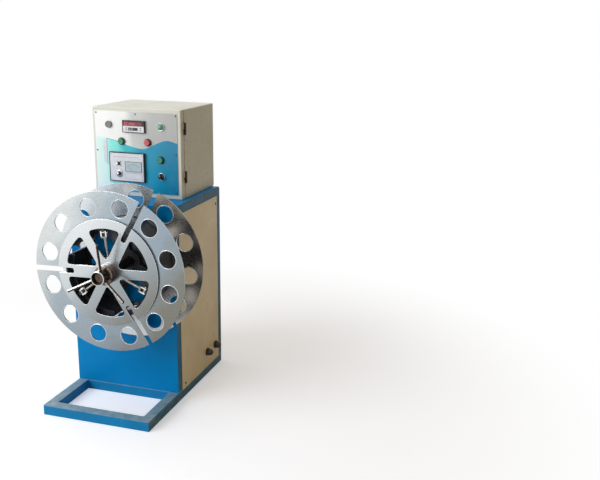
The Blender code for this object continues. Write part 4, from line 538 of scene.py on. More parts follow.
def drawn_out(shape, faces, way, keep=False):
    """Draw faces out along a way, and keep them where they were or not; the vertices that moved."""
    made = bmesh.ops.extrude_face_region(shape, geom=faces, use_keep_orig=keep)
    moved = verts_in(made["geom"])
    bmesh.ops.translate(shape, vec=way, verts=moved)
    return moved


def cuboid(shape, low, high):
    """A block between two corners, added to a bmesh."""
    made = bmesh.ops.create_cube(shape, size=1.0)["verts"]
    bmesh.ops.scale(shape, vec=[b - a for a, b in zip(low, high)], verts=made)
    bmesh.ops.translate(shape, vec=[(a + b) / 2 for a, b in zip(low, high)], verts=made)
    return made


def rod(shape, start, end, radius, steps):
    """A round bar between two points, added to a bmesh."""
    start, end = Vector(start), Vector(end)
    turn = Vector((0, 0, 1)).rotation_difference(end - start).to_matrix().to_4x4()
    place = Matrix.Translation((start + end) / 2) @ turn
    return bmesh.ops.create_cone(
        shape, cap_ends=True, segments=steps, radius1=radius, radius2=radius, depth=(end - start).length,
        matrix=place,
    )["verts"]


def lathe(shape, profile, place, direction=FORWARD, steps=48):
    """A turned form from radius and height pairs, its heights along a direction from a place."""
    made = [shape.verts.new((radius, 0, height)) for radius, height in profile]
    edges = [shape.edges.new(pair) for pair in zip(made, made[1:])]
    bmesh.ops.spin(
        shape, geom=made + edges, cent=(0, 0, 0), axis=(0, 0, 1), angle=2 * pi, steps=steps, use_merge=True
    )
    verts = joined_to(made)
    bmesh.ops.remove_doubles(shape, verts=verts, dist=0.000002)
    verts = [vert for vert in verts if vert.is_valid]
    turn = Vector((0, 0, 1)).rotation_difference(Vector(direction)).to_matrix().to_4x4()
    bmesh.ops.transform(shape, matrix=Matrix.Translation(place) @ turn, verts=verts)
    turn_out(shape, verts)


def turned_piece(name, profile, place, finish, body, replaces=(), bevel=0.0, direction=FORWARD, steps=48):
    """A turned form as a piece."""
    shape = bmesh.new()
    lathe(shape, profile, place, direction, steps)
    finish_piece(name, shape, finish, body, replaces, bevel)


def flute(shape, place, axes, share, chosen):
    """Draw every second pair of a turned form's 48 facets in, where its offset and radius are chosen."""
    for vert in shape.verts:
        off = vert.co - Vector(place)
        across, along = off[axes[0]], off[axes[1]]
        facet = round(atan2(along, across) / (2 * pi / 48))
        if facet % 4 in (0, 1) and chosen(off, hypot(across, along)):
            for axis in axes:
                vert.co[axis] = place[axis] + off[axis] * share


def cut(piece, cutter):
    """Cut a bmesh out of an unfinished piece."""
    tool = loose_piece("cutter", cutter)
    step = piece.modifiers.new("cut", "BOOLEAN")
    step.operation = "DIFFERENCE"
    step.solver = "EXACT"
    step.object = tool
    bpy.context.view_layer.update()
    graph = bpy.context.evaluated_depsgraph_get()
    result = bpy.data.meshes.new_from_object(piece.evaluated_get(graph))
    piece.modifiers.clear()
    piece.data = result
    bpy.data.objects.remove(tool)


def merged(mesh):
    """A mesh as a bmesh without doubled vertices."""
    shape = bmesh.new()
    shape.from_mesh(mesh)
    bmesh.ops.remove_doubles(shape, verts=shape.verts, dist=SAME_PLACE)
    return shape


def whole_faced(mesh):
    """A mesh as a bmesh whose flat faces are whole."""
    shape = merged(mesh)
    bmesh.ops.dissolve_limit(shape, angle_limit=SAME_PLANE, verts=shape.verts, edges=shape.edges)
    return shape


def take_shape(piece):
    """The bmesh of an unfinished object, with flat faces whole; the object goes."""
    shape = whole_faced(piece.data)
    bpy.data.objects.remove(piece)
    return shape


def turned_at(place, turn):
    """A place with a turn about Y there, counter-clockwise from the front."""
    return Matrix.Translation(place) @ Matrix.Rotation(-turn, 4, "Y")


def about_shaft(turn):
    """A turn about the shaft, counter-clockwise from the front."""
    return turned_at(SHAFT, turn)


def placed_block(shape, move, low, high):
    """A block between two corners, moved by a matrix."""
    bmesh.ops.transform(shape, matrix=move, verts=cuboid(shape, low, high))


def middle_of(node):
    """The middle of a node's box as x and z."""
    low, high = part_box(node)
    return (low.x + high.x) / 2, (low.z + high.z) / 2


def dress_node(node, finish):
    """Give a CAD node its finish."""
    slots = NODES[node].material_slots
    for slot in slots:
        slot.material = finish
    if not slots:
        NODES[node].data.materials.append(finish)


def softened(node, finish, body, width):
    """A copy of a CAD node with its flat faces whole and its edges rounded, in the node's place."""
    finish_piece("soft_" + node, whole_faced(NODES[node].data), finish, body, [node], width)


# Reel

def slot_turns(turn):
    """Directions of the three binding slots of a flange."""
    return [turn + pi / 3 + 2 * pi * k / 3 for k in range(3)]


def hole_places(slot):
    """The middles of the four round holes of a sector as x and z."""
    turns = [slot + pi / 12 + k * pi / 6 for k in range(4)]
    return [(HOLE_CIRCLE * cos(turn), SHAFT_HEIGHT + HOLE_CIRCLE * sin(turn)) for turn in turns]


def ring_sector(name, slot, front, back, finish, body, node):
    """A rim sector between two slots, with its four round holes."""
    shape = bmesh.new()
    start = asin(SLOT_WIDTH / 2 / FLANGE_RADIUS)
    inner = shape.verts.new((SECTOR_INNER, 0, 0))
    outer = shape.verts.new((FLANGE_RADIUS, 0, 0))
    edge = shape.edges.new((inner, outer))
    bmesh.ops.spin(
        shape, geom=[inner, outer, edge], cent=(0, 0, 0), axis=(0, -1, 0), angle=2 * pi / 3 - 2 * start, steps=72
    )
    bmesh.ops.rotate(shape, cent=(0, 0, 0), matrix=Matrix.Rotation(-(slot + start), 3, "Y"), verts=shape.verts)
    drawn_out(shape, shape.faces[:], (0, back - front, 0))
    bmesh.ops.translate(shape, vec=(0, front, SHAFT_HEIGHT), verts=shape.verts)
    bmesh.ops.recalc_face_normals(shape, faces=shape.faces)
    piece = loose_piece(name, shape)
    holes = bmesh.new()
    near, far = front - CUT_MARGIN, back + CUT_MARGIN
    for x, z in hole_places(slot):
        rod(holes, (x, near, z), (x, far, z), HOLE_RADIUS, 64)
    for angle in (slot, slot + 2 * pi / 3):
        placed_block(
            holes, about_shaft(angle), (SECTOR_INNER - CUT_MARGIN, near, -SLOT_WIDTH / 2),
            (FLANGE_RADIUS + CUT_MARGIN, far, SLOT_WIDTH / 2),
        )
    cut(piece, holes)
    # Painted highlight: the rounded edges take the brighter rim finish
    finish_piece(name, take_shape(piece), finish, body, [node], 0.0010, edge_finish=RIM_PAINTED_HIGHLIGHT)


def hole_rims(name, slot, front, body):
    """Polished rims round the four holes of a sector, where its edges were broken, painted brighter as a highlight."""
    shape = bmesh.new()
    profile = [
        (HOLE_RADIUS - 0.0001, -0.0012), (HOLE_RADIUS - 0.0001, -0.0004), (HOLE_RADIUS + 0.0004, 0.0003),
        (HOLE_RADIUS + 0.0018, 0.0004), (HOLE_RADIUS + 0.0024, 0.0), (HOLE_RADIUS + 0.0024, -0.0002),
    ]
    for x, z in hole_places(slot):
        lathe(shape, profile + profile[:1], (x, front, z), steps=64)
    finish_piece(name, shape, RIM_PAINTED_HIGHLIGHT, body)


def swept(shape, vert, centre, angle, steps):
    """An arc from a vertex about a centre, counter-clockwise from the front; its last vertex."""
    made = bmesh.ops.spin(shape, geom=[vert], cent=centre, axis=(0, -1, 0), angle=angle, steps=steps)
    return verts_in(made["geom_last"])[0]


def window_cutter(shape, first, low, high, front, back):
    """The prism of a window with round corners, from the spoke at an angle to the next."""
    span, fillet, reach = pi / 3, WINDOW_FILLET, WINDOW_RADIUS - WINDOW_FILLET
    near, far = low + fillet, high + fillet
    near_turn, far_turn = asin(near / reach), span - asin(far / reach)
    root = Vector(((far + near * cos(span)) / sin(span), 0, near))
    start = shape.verts.new((reach * cos(near_turn), 0, low))
    vert = swept(shape, start, (reach * cos(near_turn), 0, near), near_turn + QUARTER, 8)
    vert = swept(shape, vert, (0, 0, 0), far_turn - near_turn, 24)
    vert = swept(shape, vert, (reach * cos(far_turn), 0, reach * sin(far_turn)), span + QUARTER - far_turn, 8)
    turned = span + QUARTER
    corner = shape.verts.new(root + fillet * Vector((cos(turned), 0, sin(turned))))
    shape.edges.new((vert, corner))
    vert = swept(shape, corner, root, 2 * pi / 3, 8)
    shape.edges.new((vert, start))
    loop, walked = [start], {start}
    while True:
        onward = [edge.other_vert(loop[-1]) for edge in loop[-1].link_edges]
        onward = [other for other in onward if other not in walked]
        if not onward:
            break
        loop.append(onward[0])
        walked.add(onward[0])
    verts = loop + drawn_out(shape, [shape.faces.new(loop)], (0, back - front + 2 * CUT_MARGIN, 0))
    bmesh.ops.translate(shape, vec=(0, front - CUT_MARGIN, 0), verts=verts)
    bmesh.ops.transform(shape, matrix=about_shaft(first), verts=verts)
    turn_out(shape, verts)


def spider_plate(name, turn, front, back, bore, finish, body, node):
    """A spider plate: a disc with six windows, three slots and its bore, its outer edge painted dark as shade."""
    shape = bmesh.new()
    rod(shape, (0, front, SHAFT_HEIGHT), (0, back, SHAFT_HEIGHT), SPIDER_RADIUS, 192)
    piece = loose_piece(name, shape)
    holes = bmesh.new()
    rod(holes, (0, front - CUT_MARGIN, SHAFT_HEIGHT), (0, back + CUT_MARGIN, SHAFT_HEIGHT), bore, 64)
    for slot in slot_turns(turn):
        made = cuboid(
            holes, (SLOT_ROOT, front - 2 * CUT_MARGIN, -SLOT_WIDTH / 2),
            (SPIDER_RADIUS + 2 * CUT_MARGIN, back + 2 * CUT_MARGIN, SLOT_WIDTH / 2),
        )
        roots = [
            edge for edge in {edge for vert in made for edge in vert.link_edges}
            if all(vert.co.x < SLOT_ROOT + 0.001 for vert in edge.verts)
            and abs(edge.verts[0].co.z - edge.verts[1].co.z) < 0.001
        ]
        rounded = bmesh.ops.bevel(
            holes, geom=roots, offset=SLOT_ROUND, offset_type="OFFSET", segments=6, profile=0.5, affect="EDGES",
            material=-1,
        )
        verts = {vert for vert in made if vert.is_valid} | set(rounded["verts"])
        bmesh.ops.transform(holes, matrix=about_shaft(slot), verts=list(verts))
    for slot in slot_turns(turn):
        window_cutter(holes, slot, SLOT_SPOKE / 2, PLAIN_SPOKE / 2, front, back)
        window_cutter(holes, slot + pi / 3, PLAIN_SPOKE / 2, SLOT_SPOKE / 2, front, back)
    cut(piece, holes)
    # Painted highlight: the front spokes' rounded edges take the brighter rim finish
    edge_finish = RIM_PAINTED_HIGHLIGHT if finish == SPOKES else finish
    made = finish_piece(name, take_shape(piece), finish, body, [node], 0.0009, edge_finish=edge_finish)
    # Painted shade: the outer edge faces take a dark finish
    made.data.materials.append(EDGE_PAINTED_SHADE)
    for face in made.data.polygons:
        out = hypot(face.center.x, face.center.z - SHAFT_HEIGHT)
        if abs(face.normal.y) < 0.5 and out > SPIDER_RADIUS - 0.002:
            face.material_index = len(made.data.materials) - 1


def flanges():
    """Both flanges: satin front, mirror rear with spokes painted dark as shade."""
    for prefix, turn, bore, finish, spokes, body in (
        ("front", FRONT_TURN, FRONT_BORE, ALUMINIUM, SPOKES, "front_flange"),
        ("rear", REAR_TURN, SHAFT_BORE, MIRROR, SPOKES_PAINTED_SHADE, "reel"),
    ):
        for number, slot in enumerate(slot_turns(turn), 1):
            node = f"{prefix}_sector_{number}"
            low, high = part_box(node)
            ring_sector(f"{prefix}_rim_{number}", slot, low.y, high.y, finish, body, node)
            hole_rims(f"{prefix}_hole_rims_{number}", slot, low.y, body)
        low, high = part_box(f"{prefix}_spider")
        spider_plate(f"{prefix}_spokes", turn, low.y, high.y, bore, spokes, body, f"{prefix}_spider")


def hub_and_nut():
    """Browned boss, the bright clamp nut with its three arms, and the threaded shaft."""
    low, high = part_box("front_hub")
    bore = SHAFT_BORE
    length = high.y - low.y
    profile = [
        (bore, 0), (0.0345, 0), (0.0372, -0.0012), (0.038, -0.0034), (0.038, -0.0118), (0.0372, -0.0128),
        (0.0372, -0.0142), (0.038, -0.0152), (0.038, -0.0308), (0.0260, -0.0312), (0.0260, -length), (bore, -length),
        (bore, 0),
    ]
    place = (0, low.y, SHAFT_HEIGHT)
    turned_piece("browned_boss", profile, place, BOSS_STEEL, "front_flange", ["front_hub"], 0.0006, steps=96)
    low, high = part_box("clamp_nut")
    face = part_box("main_shaft")[0].y - 0.013
    depth = high.y - face
    place = (0, face, SHAFT_HEIGHT)
    profile = [
        (0.0236, -0.0002), (0.0256, -0.0002), (0.0256, -0.0034), (0.0264, -0.0036), (0.027, -0.0044), (0.027, -depth),
        (bore, -depth), (bore, -0.0060), (0.0236, -0.0022), (0.0236, -0.0002),
    ]
    turned_piece("clamp_barrel", profile, place, DRAWN, "nut", ["clamp_nut"], 0.0003, steps=96)
    profile = [
        (0.0237, 0.0), (0.0256, 0.0), (0.0267, -0.0007), (0.0270, -0.0018), (0.0268, -0.0032), (0.0257, -0.0034),
        (0.0257, -0.0001), (0.0237, -0.0001), (0.0237, 0.0),
    ]
    turned_piece("clamp_lip", profile, place, CHROME, "nut", steps=96)
    profile = [
        (0.0204, -0.0060), (0.0235, -0.0024), (0.0235, -0.0008), (0.0228, -0.0004), (0.0204, -0.0052),
        (0.0204, -0.0060),
    ]
    turned_piece("oily_nut_mouth", profile, place, OILED, "nut", steps=96)
    arm_y = high.y - 0.021
    reach = (NUT_ARM_REACH - NUT_ARM_ROOT) / cos(NUT_ARM_RAKE)
    profile = [
        (0, reach - 0.0120), (0.0036, reach - 0.0118), (0.0036, reach), (0.0046, reach), (0.0052, reach - 0.0006),
        (0.0055, reach - 0.0016), (0.0055, 0.0058), (0.0060, 0.0046), (0.0066, 0.0008), (0.0066, -0.0010), (0, -0.0010),
    ]
    for number in range(3):
        turn = NUT_ARM_START + 2 * pi * number / 3
        way = Vector((cos(turn) * cos(NUT_ARM_RAKE), -sin(NUT_ARM_RAKE), sin(turn) * cos(NUT_ARM_RAKE)))
        start = (cos(turn) * NUT_ARM_ROOT, arm_y, SHAFT_HEIGHT + sin(turn) * NUT_ARM_ROOT)
        turned_piece(f"nut_arm_{number + 1}", profile, start, DRAWN, "nut", direction=way, steps=40)
    low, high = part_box("main_shaft")
    length = high.y - low.y
    profile = [(0, -0.0016), (0.0022, -0.0016), (0.0040, 0), (0.0180, 0), (0.0194, -0.0012)]
    depth = 0.002
    while depth < 0.060:
        profile += [(0.0200, -depth), (0.0191, -depth - 0.0010)]
        depth += 0.0020
    profile += [(0.0200, -depth), (0.0200, -length + 0.0015), (0.0185, -length), (0, -length)]
    turned_piece("threaded_shaft", profile, (0, low.y, SHAFT_HEIGHT), OILED, "reel", ["main_shaft"])
    dress_node("rear_hub", OILED)
    dress_node("driven_pulley", CAST)
    softened("guide_rails", BLACKED, "reel", 0.0006)


def band(shape, turn, outer, inner, front, back, half_gap):
    """A curved band round the shaft that stops short of the gaps at both ends."""
    out = pi / 3 - asin(half_gap / outer)
    corners = [(outer, front), (outer, back), (inner, back), (inner, front)]
    loop = [shape.verts.new((radius * cos(out), y, -radius * sin(out))) for radius, y in corners]
    face = shape.faces.new(loop)
    made = bmesh.ops.spin(shape, geom=[face], cent=(0, 0, 0), axis=(0, -1, 0), angle=2 * out, steps=40)
    verts = joined_to(loop + verts_in(made["geom_last"]))
    bmesh.ops.transform(shape, matrix=about_shaft(turn), verts=verts)
    turn_out(shape, verts)


def turned_block(shape, turn, low, high):
    """A block given along +X of the reel, turned about the shaft."""
    placed_block(shape, about_shaft(turn), low, high)


def core():
    """Claws with guide shoes and lugs with bright noses, links with their forks, and the collar."""
    rail_front, rail_back = (corner.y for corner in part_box("guide_rails"))
    shoe = rail_front - SHOE_DEPTH
    front = min(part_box(f"core_claw_{number}")[0].y for number in (1, 2, 3))
    link_y = CABINET_FRONT - LINK_AHEAD
    for number, turn in enumerate(CLAW_TURNS, 1):
        shape = bmesh.new()
        band(shape, turn, CORE_RADIUS, CORE_INNER, front, rail_back, 0.020)
        for near in (front + 0.024, rail_back - 0.024):
            band(shape, turn, CLAW_SEAT, RIB_INNER, near, near + 0.005, 0.0203)
        turned_block(shape, turn, (SHOE_INNER, shoe, -SHOE_HALF), (CLAW_SEAT, rail_front - 0.0003, SHOE_HALF))
        for side in (-1, 1):
            low, high = sorted((side * RAIL_HALF, side * SHOE_HALF))
            turned_block(shape, turn, (SHOE_INNER, shoe, low), (CLAW_SEAT, rail_back - 0.001, high))
        boss = rod(shape, (LINK_OUTER, link_y, -0.0068), (LINK_OUTER, link_y, 0.0068), 0.009, 40)
        bmesh.ops.transform(shape, matrix=about_shaft(turn), verts=boss)
        turned_block(shape, turn, (LINK_OUTER, link_y - LUG_HALF, -0.0066), (CLAW_SEAT, link_y + LUG_HALF, 0.0066))
        finish_piece(f"claw_{number}_casting", shape, BLACKED, f"claw_{number}", [f"core_claw_{number}"], 0.0008)
        shape = bmesh.new()
        turned_block(
            shape, turn, (LINK_OUTER + 0.0012, link_y - 0.0096, -0.0065), (LINK_OUTER + 0.0050, link_y - 0.0060, 0.0065)
        )
        finish_piece(f"claw_{number}_lug_nose", shape, CHROME, f"claw_{number}", bevel=0.0004)
    for number in (1, 2, 3):
        softened(f"core_link_{number}", PLATED, f"link_{number}", 0.0005)
    softened("core_collar", BLACKED, "collar", 0.0005)


# Cabinet

def screw(shape, place, direction, radius, steps):
    """A pan head screw with a hollow for the driver, on its washer."""
    profile = [
        (0, radius * 0.30), (radius * 0.30, radius * 0.30), (radius * 0.34, radius * 0.62),
        (radius * 0.70, radius * 0.52), (radius * 0.95, radius * 0.24), (radius, 0.0005),
        (radius * 1.40, 0.0004), (radius * 1.44, 0.0), (0, 0),
    ]
    lathe(shape, profile, place, direction, steps)


def screws(name, places, direction, radius, finish, body, steps=20):
    """Several screws of one kind as one piece."""
    shape = bmesh.new()
    for place in places:
        screw(shape, place, direction, radius, steps)
    finish_piece(name, shape, finish, body)


def corner_waste():
    """What the rounded rear top edge of the cabinet leaves off."""
    shape = bmesh.new()
    top, back = CABINET_TOP, CABINET_BACK
    edge_y, edge_z = back - CORNER_ROUND, top - CORNER_ROUND
    cuboid(shape, (-0.5, edge_y, edge_z), (0.5, back + CORNER_ROUND, top + CORNER_ROUND))
    piece = loose_piece("waste", shape)
    bar = bmesh.new()
    rod(bar, (-0.6, edge_y, edge_z), (0.6, edge_y, edge_z), CORNER_ROUND, 80)
    cut(piece, bar)
    return take_shape(piece)


def rounded_at_back(node, finish, bevel):
    """A node's softened copy with the cabinet's rounded rear top edge."""
    piece = loose_piece(node, merged(NODES[node].data))
    cut(piece, corner_waste())
    finish_piece("rounded_" + node, take_shape(piece), finish, "machine", [node], bevel)


def weld_beads():
    """Fillet welds at the corners of the foot, ground flat in parts."""
    shape = bmesh.new()
    low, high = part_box("base_frame")
    for y in (low.y + TUBE, CABINET_FRONT - 0.0005):
        for x in (low.x + TUBE, high.x - TUBE):
            rod(shape, (x, y, 0.002), (x, y, TUBE - 0.0005), 0.0022, 10)
    for vert in shape.verts:
        vert.co.x += 0.0004 * sin(900 * vert.co.z)
        vert.co.y += 0.0004 * cos(1300 * vert.co.z)
    finish_piece("foot_welds", shape, BLUE_FOOT, "machine")


def cabinet():
    """Finishes of the frame and panels, and their screws."""
    softened("base_frame", BLUE_FOOT, "machine", 0.0012)
    rounded_at_back("upright_frame", BLUE_FRAME, 0.0010)
    rounded_at_back("top_panel", BLUE, 0.0006)
    rounded_at_back("back_panel", PANEL_CREAM, 0.0)
    for finish, nodes in (
        (BLUE, ("floor_panel", "front_panel")), (PANEL_CREAM, ("side_panel_left", "side_panel_right")),
        (BLACKED, ("bearing_shelf", "motor_bracket")), (CAST, ("bearing_housing_1", "bearing_housing_2", "gear_motor")),
        (RUBBER, ("drive_belt",)), (MACHINED, ("motor_pulley", "rotation_sensor")),
    ):
        for node in nodes:
            dress_node(node, finish)
    low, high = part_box("side_panel_right")
    near, far, bottom, top = low.y + 0.030, high.y - 0.014, low.z + 0.021, high.z - 0.031
    places = [(high.x, near, bottom), (high.x, near, top), (high.x, far, top)]
    screws("right_panel_screws", places, (1, 0, 0), 0.0040, BLACK_PLASTIC, "machine")
    low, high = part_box("side_panel_left")
    places = [(low.x, y, z) for y in (near, far) for z in (bottom, top)]
    screws("left_panel_screws", places, (-1, 0, 0), 0.0040, BLACK_PLASTIC, "machine")
    low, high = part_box("back_panel")
    places = [
        (x, high.y, z) for x in (low.x + 0.020, high.x - 0.020)
        for z in (low.z + 0.020, (low.z + high.z) / 2, high.z - 0.026)
    ]
    screws("back_panel_screws", places, (0, 1, 0), 0.0040, BLACK_PLASTIC, "machine")
    weld_beads()


def box_back():
    """Cover plate on the back of the control box, held by eight screws."""
    low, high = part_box("box_body")
    edge, thick = 0.018, 0.0009
    shape = bmesh.new()
    cuboid(shape, (low.x + edge, high.y, low.z + edge), (high.x - edge, high.y + thick, high.z - edge))
    finish_piece("box_back_cover", shape, CREAM, "machine", bevel=0.0004)
    inset = edge + 0.009
    middle = middle_of("box_body")
    columns, rows = ((start + inset, at, end - inset) for start, at, end in zip(low.xz, middle, high.xz))
    places = [(x, high.y + thick, z) for x in columns for z in rows if (x, z) != middle]
    screws("box_back_screws", places, (0, 1, 0), 0.0032, MACHINED, "machine")


def louvres():
    """Pressed louvres low in the back panel, for the air of the drive, each with a dark strip in its mouth as painted
    shade.
    """
    low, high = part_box("back_panel")
    hoods, mouth_shades = bmesh.new(), bmesh.new()
    half, pitch, lowest, columns = 0.045, 0.022, 0.130, (-0.075, 0.075)
    profile = [(0, 0.0105), (0.0028, 0.0090), (0.0048, 0.0058), (0.0056, 0.0022), (0.0056, 0), (0, 0)]
    for column in columns:
        middle = (low.x + high.x) / 2 + column
        for row in range(6):
            z = low.z + lowest + pitch * row
            made = [hoods.verts.new((middle - half, high.y + out, z + up)) for out, up in profile]
            drawn_out(hoods, [hoods.faces.new(made)], (2 * half, 0, 0), keep=True)
            left, right = middle - half + 0.0015, middle + half - 0.0015
            # Painted shade: a dark strip in each louvre's mouth
            cuboid(mouth_shades, (left, high.y, z - 0.0004), (right, high.y + 0.0050, z + 0.0002))
    bmesh.ops.recalc_face_normals(hoods, faces=hoods.faces)
    finish_piece("drive_louvres", hoods, PANEL_CREAM, "machine", bevel=0.0008)
    finish_piece("louvre_painted_shade", mouth_shades, BLACK_PLASTIC, "machine")


def cable_glands():
    """Two hexagon glands with ribbed cap nuts and blanking plugs."""
    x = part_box("side_panel_right")[1].x
    for number in (1, 2):
        node = f"cable_gland_{number}"
        low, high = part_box(node)
        y, z = (low.y + high.y) / 2, (low.z + high.z) / 2
        reach = high.x - x
        shape = bmesh.new()
        rod(shape, (x + 0.0003, y, z), (x + 0.0058, y, z), 0.0172, 6)
        finish_piece(f"gland_{number}_hexagon", shape, BROWN_PLASTIC, "machine", bevel=0.0008)
        shape = bmesh.new()
        profile = [
            (0, reach - 0.0030), (0.0050, reach - 0.0030), (0.0056, reach), (0.0086, reach), (0.0100, reach - 0.0012),
            (0.0104, reach - 0.0036), (0.0114, reach - 0.0040), (0.0136, reach - 0.0090), (0.0150, reach - 0.0120),
            (0.0154, 0.0105), (0.0154, 0.0070), (0.0118, 0.0066), (0.0118, 0.0056), (0.0104, 0.0053), (0.0104, -0.014),
            (0, -0.014),
        ]
        lathe(shape, profile, (x, y, z), (1, 0, 0), 48)
        flute(shape, (x, y, z), (1, 2), 0.90, lambda off, ring: off.x > 0.0068 and ring > 0.0108)
        finish_piece(f"gland_{number}_cap", shape, BROWN_PLASTIC, "machine", [node])


# Control box

def frame_ring(shape, low, high, border, recess):
    """A block whose front (-Y) face is sunk inside a border."""
    made = cuboid(shape, low, high)
    face = min({face for vert in made for face in vert.link_faces}, key=lambda item: item.calc_center_median().y)
    bmesh.ops.inset_region(shape, faces=[face], thickness=border)
    drawn_out(shape, [face], (0, recess, 0))
    bmesh.ops.delete(shape, geom=[face], context="FACES_ONLY")


def slab(name, low, high, finish, body, bevel=0.0):
    """A thin flat piece, its edges rounded by a bevel."""
    shape = bmesh.new()
    cuboid(shape, low, high)
    finish_piece(name, shape, finish, body, bevel=bevel)


def control_box():
    """Case and door, seal that also darkens the door gap as painted shade, a dark strip under the box as painted
    shadow, hinge sleeves with their screws, and the gear inside.
    """
    softened("box_body", CHIPPED_CREAM, "machine", 0.0)
    softened("box_door", CHIPPED_CREAM, "door", 0.0)
    # A rubber seal round the door; its dark face also stands in for shadow in the door gap
    shape = bmesh.new()
    rim, y0, y1 = 0.010, DOOR_BACK + 0.0001, CASE_FRONT - 0.0001
    x0, x1, z0, z1 = BOX_LOW.x + 0.0015, BOX_RIGHT - 0.0003, BOX_LOW.z + 0.0015, BOX_HIGH.z - 0.0020
    for a, b in (
        ((x0, y0, z0), (x0 + rim, y1, z1)), ((x1 - rim, y0, z0), (x1, y1, z1)),
        ((x0 + rim, y0, z0), (x1 - rim, y1, z0 + rim)), ((x0 + rim, y0, z1 - rim), (x1 - rim, y1, z1)),
    ):
        cuboid(shape, a, b)
    finish_piece("door_seal_and_gap_shade", shape, RUBBER, "machine", bevel=0.0006)
    # Painted shadow: a dark strip under the box
    slab(
        "box_gap_painted_shadow", (BOX_LOW.x + 0.004, CASE_FRONT + 0.002, CABINET_TOP + 0.00002),
        (BOX_RIGHT - 0.004, CABINET_BACK - 0.002, BOX_BASE - 0.00002), RUBBER, "machine",
    )
    profile = [
        (0, 0.0244), (0.0026, 0.0241), (0.0033, 0.0232), (0.0033, 0.0224), (0.0043, 0.0223), (0.0044, 0.0216),
        (0.0044, 0.0078), (0.0041, 0.0075), (0.0044, 0.0072), (0.0044, 0.0002), (0.0037, 0.0002), (0.0037, 0.0222),
        (0, 0.0222),
    ]
    for name, up, body in (("hinge_sleeves_of_door", 1, "door"), ("hinge_sleeves_of_case", -1, "machine")):
        shape = bmesh.new()
        for z in HINGE_LEVELS:
            lathe(shape, profile, (HINGE_X, HINGE_Y, z), (0, 0, up), 24)
        bmesh.ops.recalc_face_normals(shape, faces=shape.faces)
        finish_piece(name, shape, RUST, body)
    shape = bmesh.new()
    for z in HINGE_LEVELS:
        for level in (-0.0155, -0.0065):
            screw(shape, (BOX_RIGHT + 0.0015, 0.0925, z + level), (1, 0, 0), 0.0016, 16)
    finish_piece("hinge_screws", shape, RUST, "machine")
    dress_node("mounting_plate", MACHINED)
    dress_node("contactor", BLACK_PLASTIC)
    dress_node("drive_unit", GREY_PLASTIC)
    dress_node("terminal_rail", GREY_PLASTIC)


# Points of the wave on the faceplate as x and z
WAVE = [
    (-0.2234, 1.0360), (-0.1734, 1.0310), (-0.1254, 1.0216), (-0.0734, 1.0047), (-0.0168, 0.9960), (0.0226, 1.0100),
    (0.0576, 1.0260), (0.0916, 1.0337), (0.1326, 1.0240),
]


def smooth_line(points, steps):
    """Points of a smooth line through given points."""
    made = []
    for k in range(len(points) - 1):
        before, a, b = points[max(k - 1, 0)], points[k], points[k + 1]
        after = points[min(k + 2, len(points) - 1)]
        for step in range(steps):
            t = step / steps
            made.append(tuple(
                0.5 * (2 * q + (r - p) * t + (2 * p - 5 * q + 4 * r - s) * t * t + (3 * q - p - 3 * r + s) * t ** 3)
                for p, q, r, s in zip(before, a, b, after)
            ))
    return made + [points[-1]]


def film_strip(name, line, depth, thickness, finish, proud=0.0):
    """A strip of film below a line, so deep or down to the plate's lower edge."""
    shape = bmesh.new()
    y = PLATE_LOW.y - 0.00002 - proud
    top = [shape.verts.new((x, y, z)) for x, z in line]
    edges = [shape.edges.new(pair) for pair in zip(top, top[1:])]
    made = bmesh.ops.extrude_edge_only(shape, edges=edges)["geom"]
    for vert in verts_in(made):
        vert.co.z = vert.co.z - depth if depth else PLATE_LOW.z + 0.0002
    drawn_out(shape, shape.faces[:], (0, -thickness, 0))
    bmesh.ops.recalc_face_normals(shape, faces=shape.faces)
    piece = loose_piece(name, shape)
    holes = bmesh.new()
    for node in (*BUTTONS, "selector"):
        x, z = middle_of(node + "_bezel")
        rod(holes, (x, y - CUT_MARGIN, z), (x, y + CUT_MARGIN, z), BUTTON_HOLE, 40)
    cut(piece, holes)
    finish_piece(name, take_shape(piece), finish, "door", smooth=False)


def faceplate():
    """Silver film with the teal field below its wave, the bare label and the plate's screws."""
    dress_node("faceplate", SILVER_FILM)
    y = PLATE_LOW.y
    line = [(x, z) for x, z in smooth_line(WAVE, 8) if PLATE_LOW.x + 0.0004 < x < PLATE_HIGH.x - 0.0004]
    line = [(PLATE_LOW.x + 0.0003, line[0][1])] + line + [(PLATE_HIGH.x - 0.0003, line[-1][1])]
    film_strip("teal_field", line, 0, 0.00012, TEAL_FILM)
    film_strip("wave_edge", [spot for spot in line if -0.178 < spot[0] < -0.120], 0.0013, 0.00008, PRINT_INK, 0.00014)
    slab("bare_label", (-0.1894, y - 0.00030, 0.934), (-0.1744, y - 0.00016, 1.022), WHITE_PLASTIC, "door")
    slab("label_edge", (-0.1744, y - 0.00032, 0.926), (-0.1731, y - 0.00016, 1.031), PRINT_INK, "door")
    xs = (PLATE_LOW.x + 0.0063, (PLATE_LOW.x + PLATE_HIGH.x) / 2, PLATE_HIGH.x - 0.0063)
    zs = (PLATE_HIGH.z - 0.0080, (PLATE_LOW.z + PLATE_HIGH.z) / 2 + 0.002, PLATE_LOW.z + 0.0080)
    places = [(x, y - 0.0001, z) for z in zs for x in xs if (x, z) != (xs[1], zs[1])]
    screws("faceplate_screws", places, FORWARD, 0.0023, BLACKED, "door", 16)


# Lit segments of each digit, from the top one clockwise, then the middle one
SEGMENTS = {
    "0": "abcdef", "1": "bc", "2": "abged", "3": "abgcd", "4": "fgbc", "5": "afgcd", "6": "afgedc", "7": "abc",
    "8": "abcdefg", "9": "abcdfg",
}


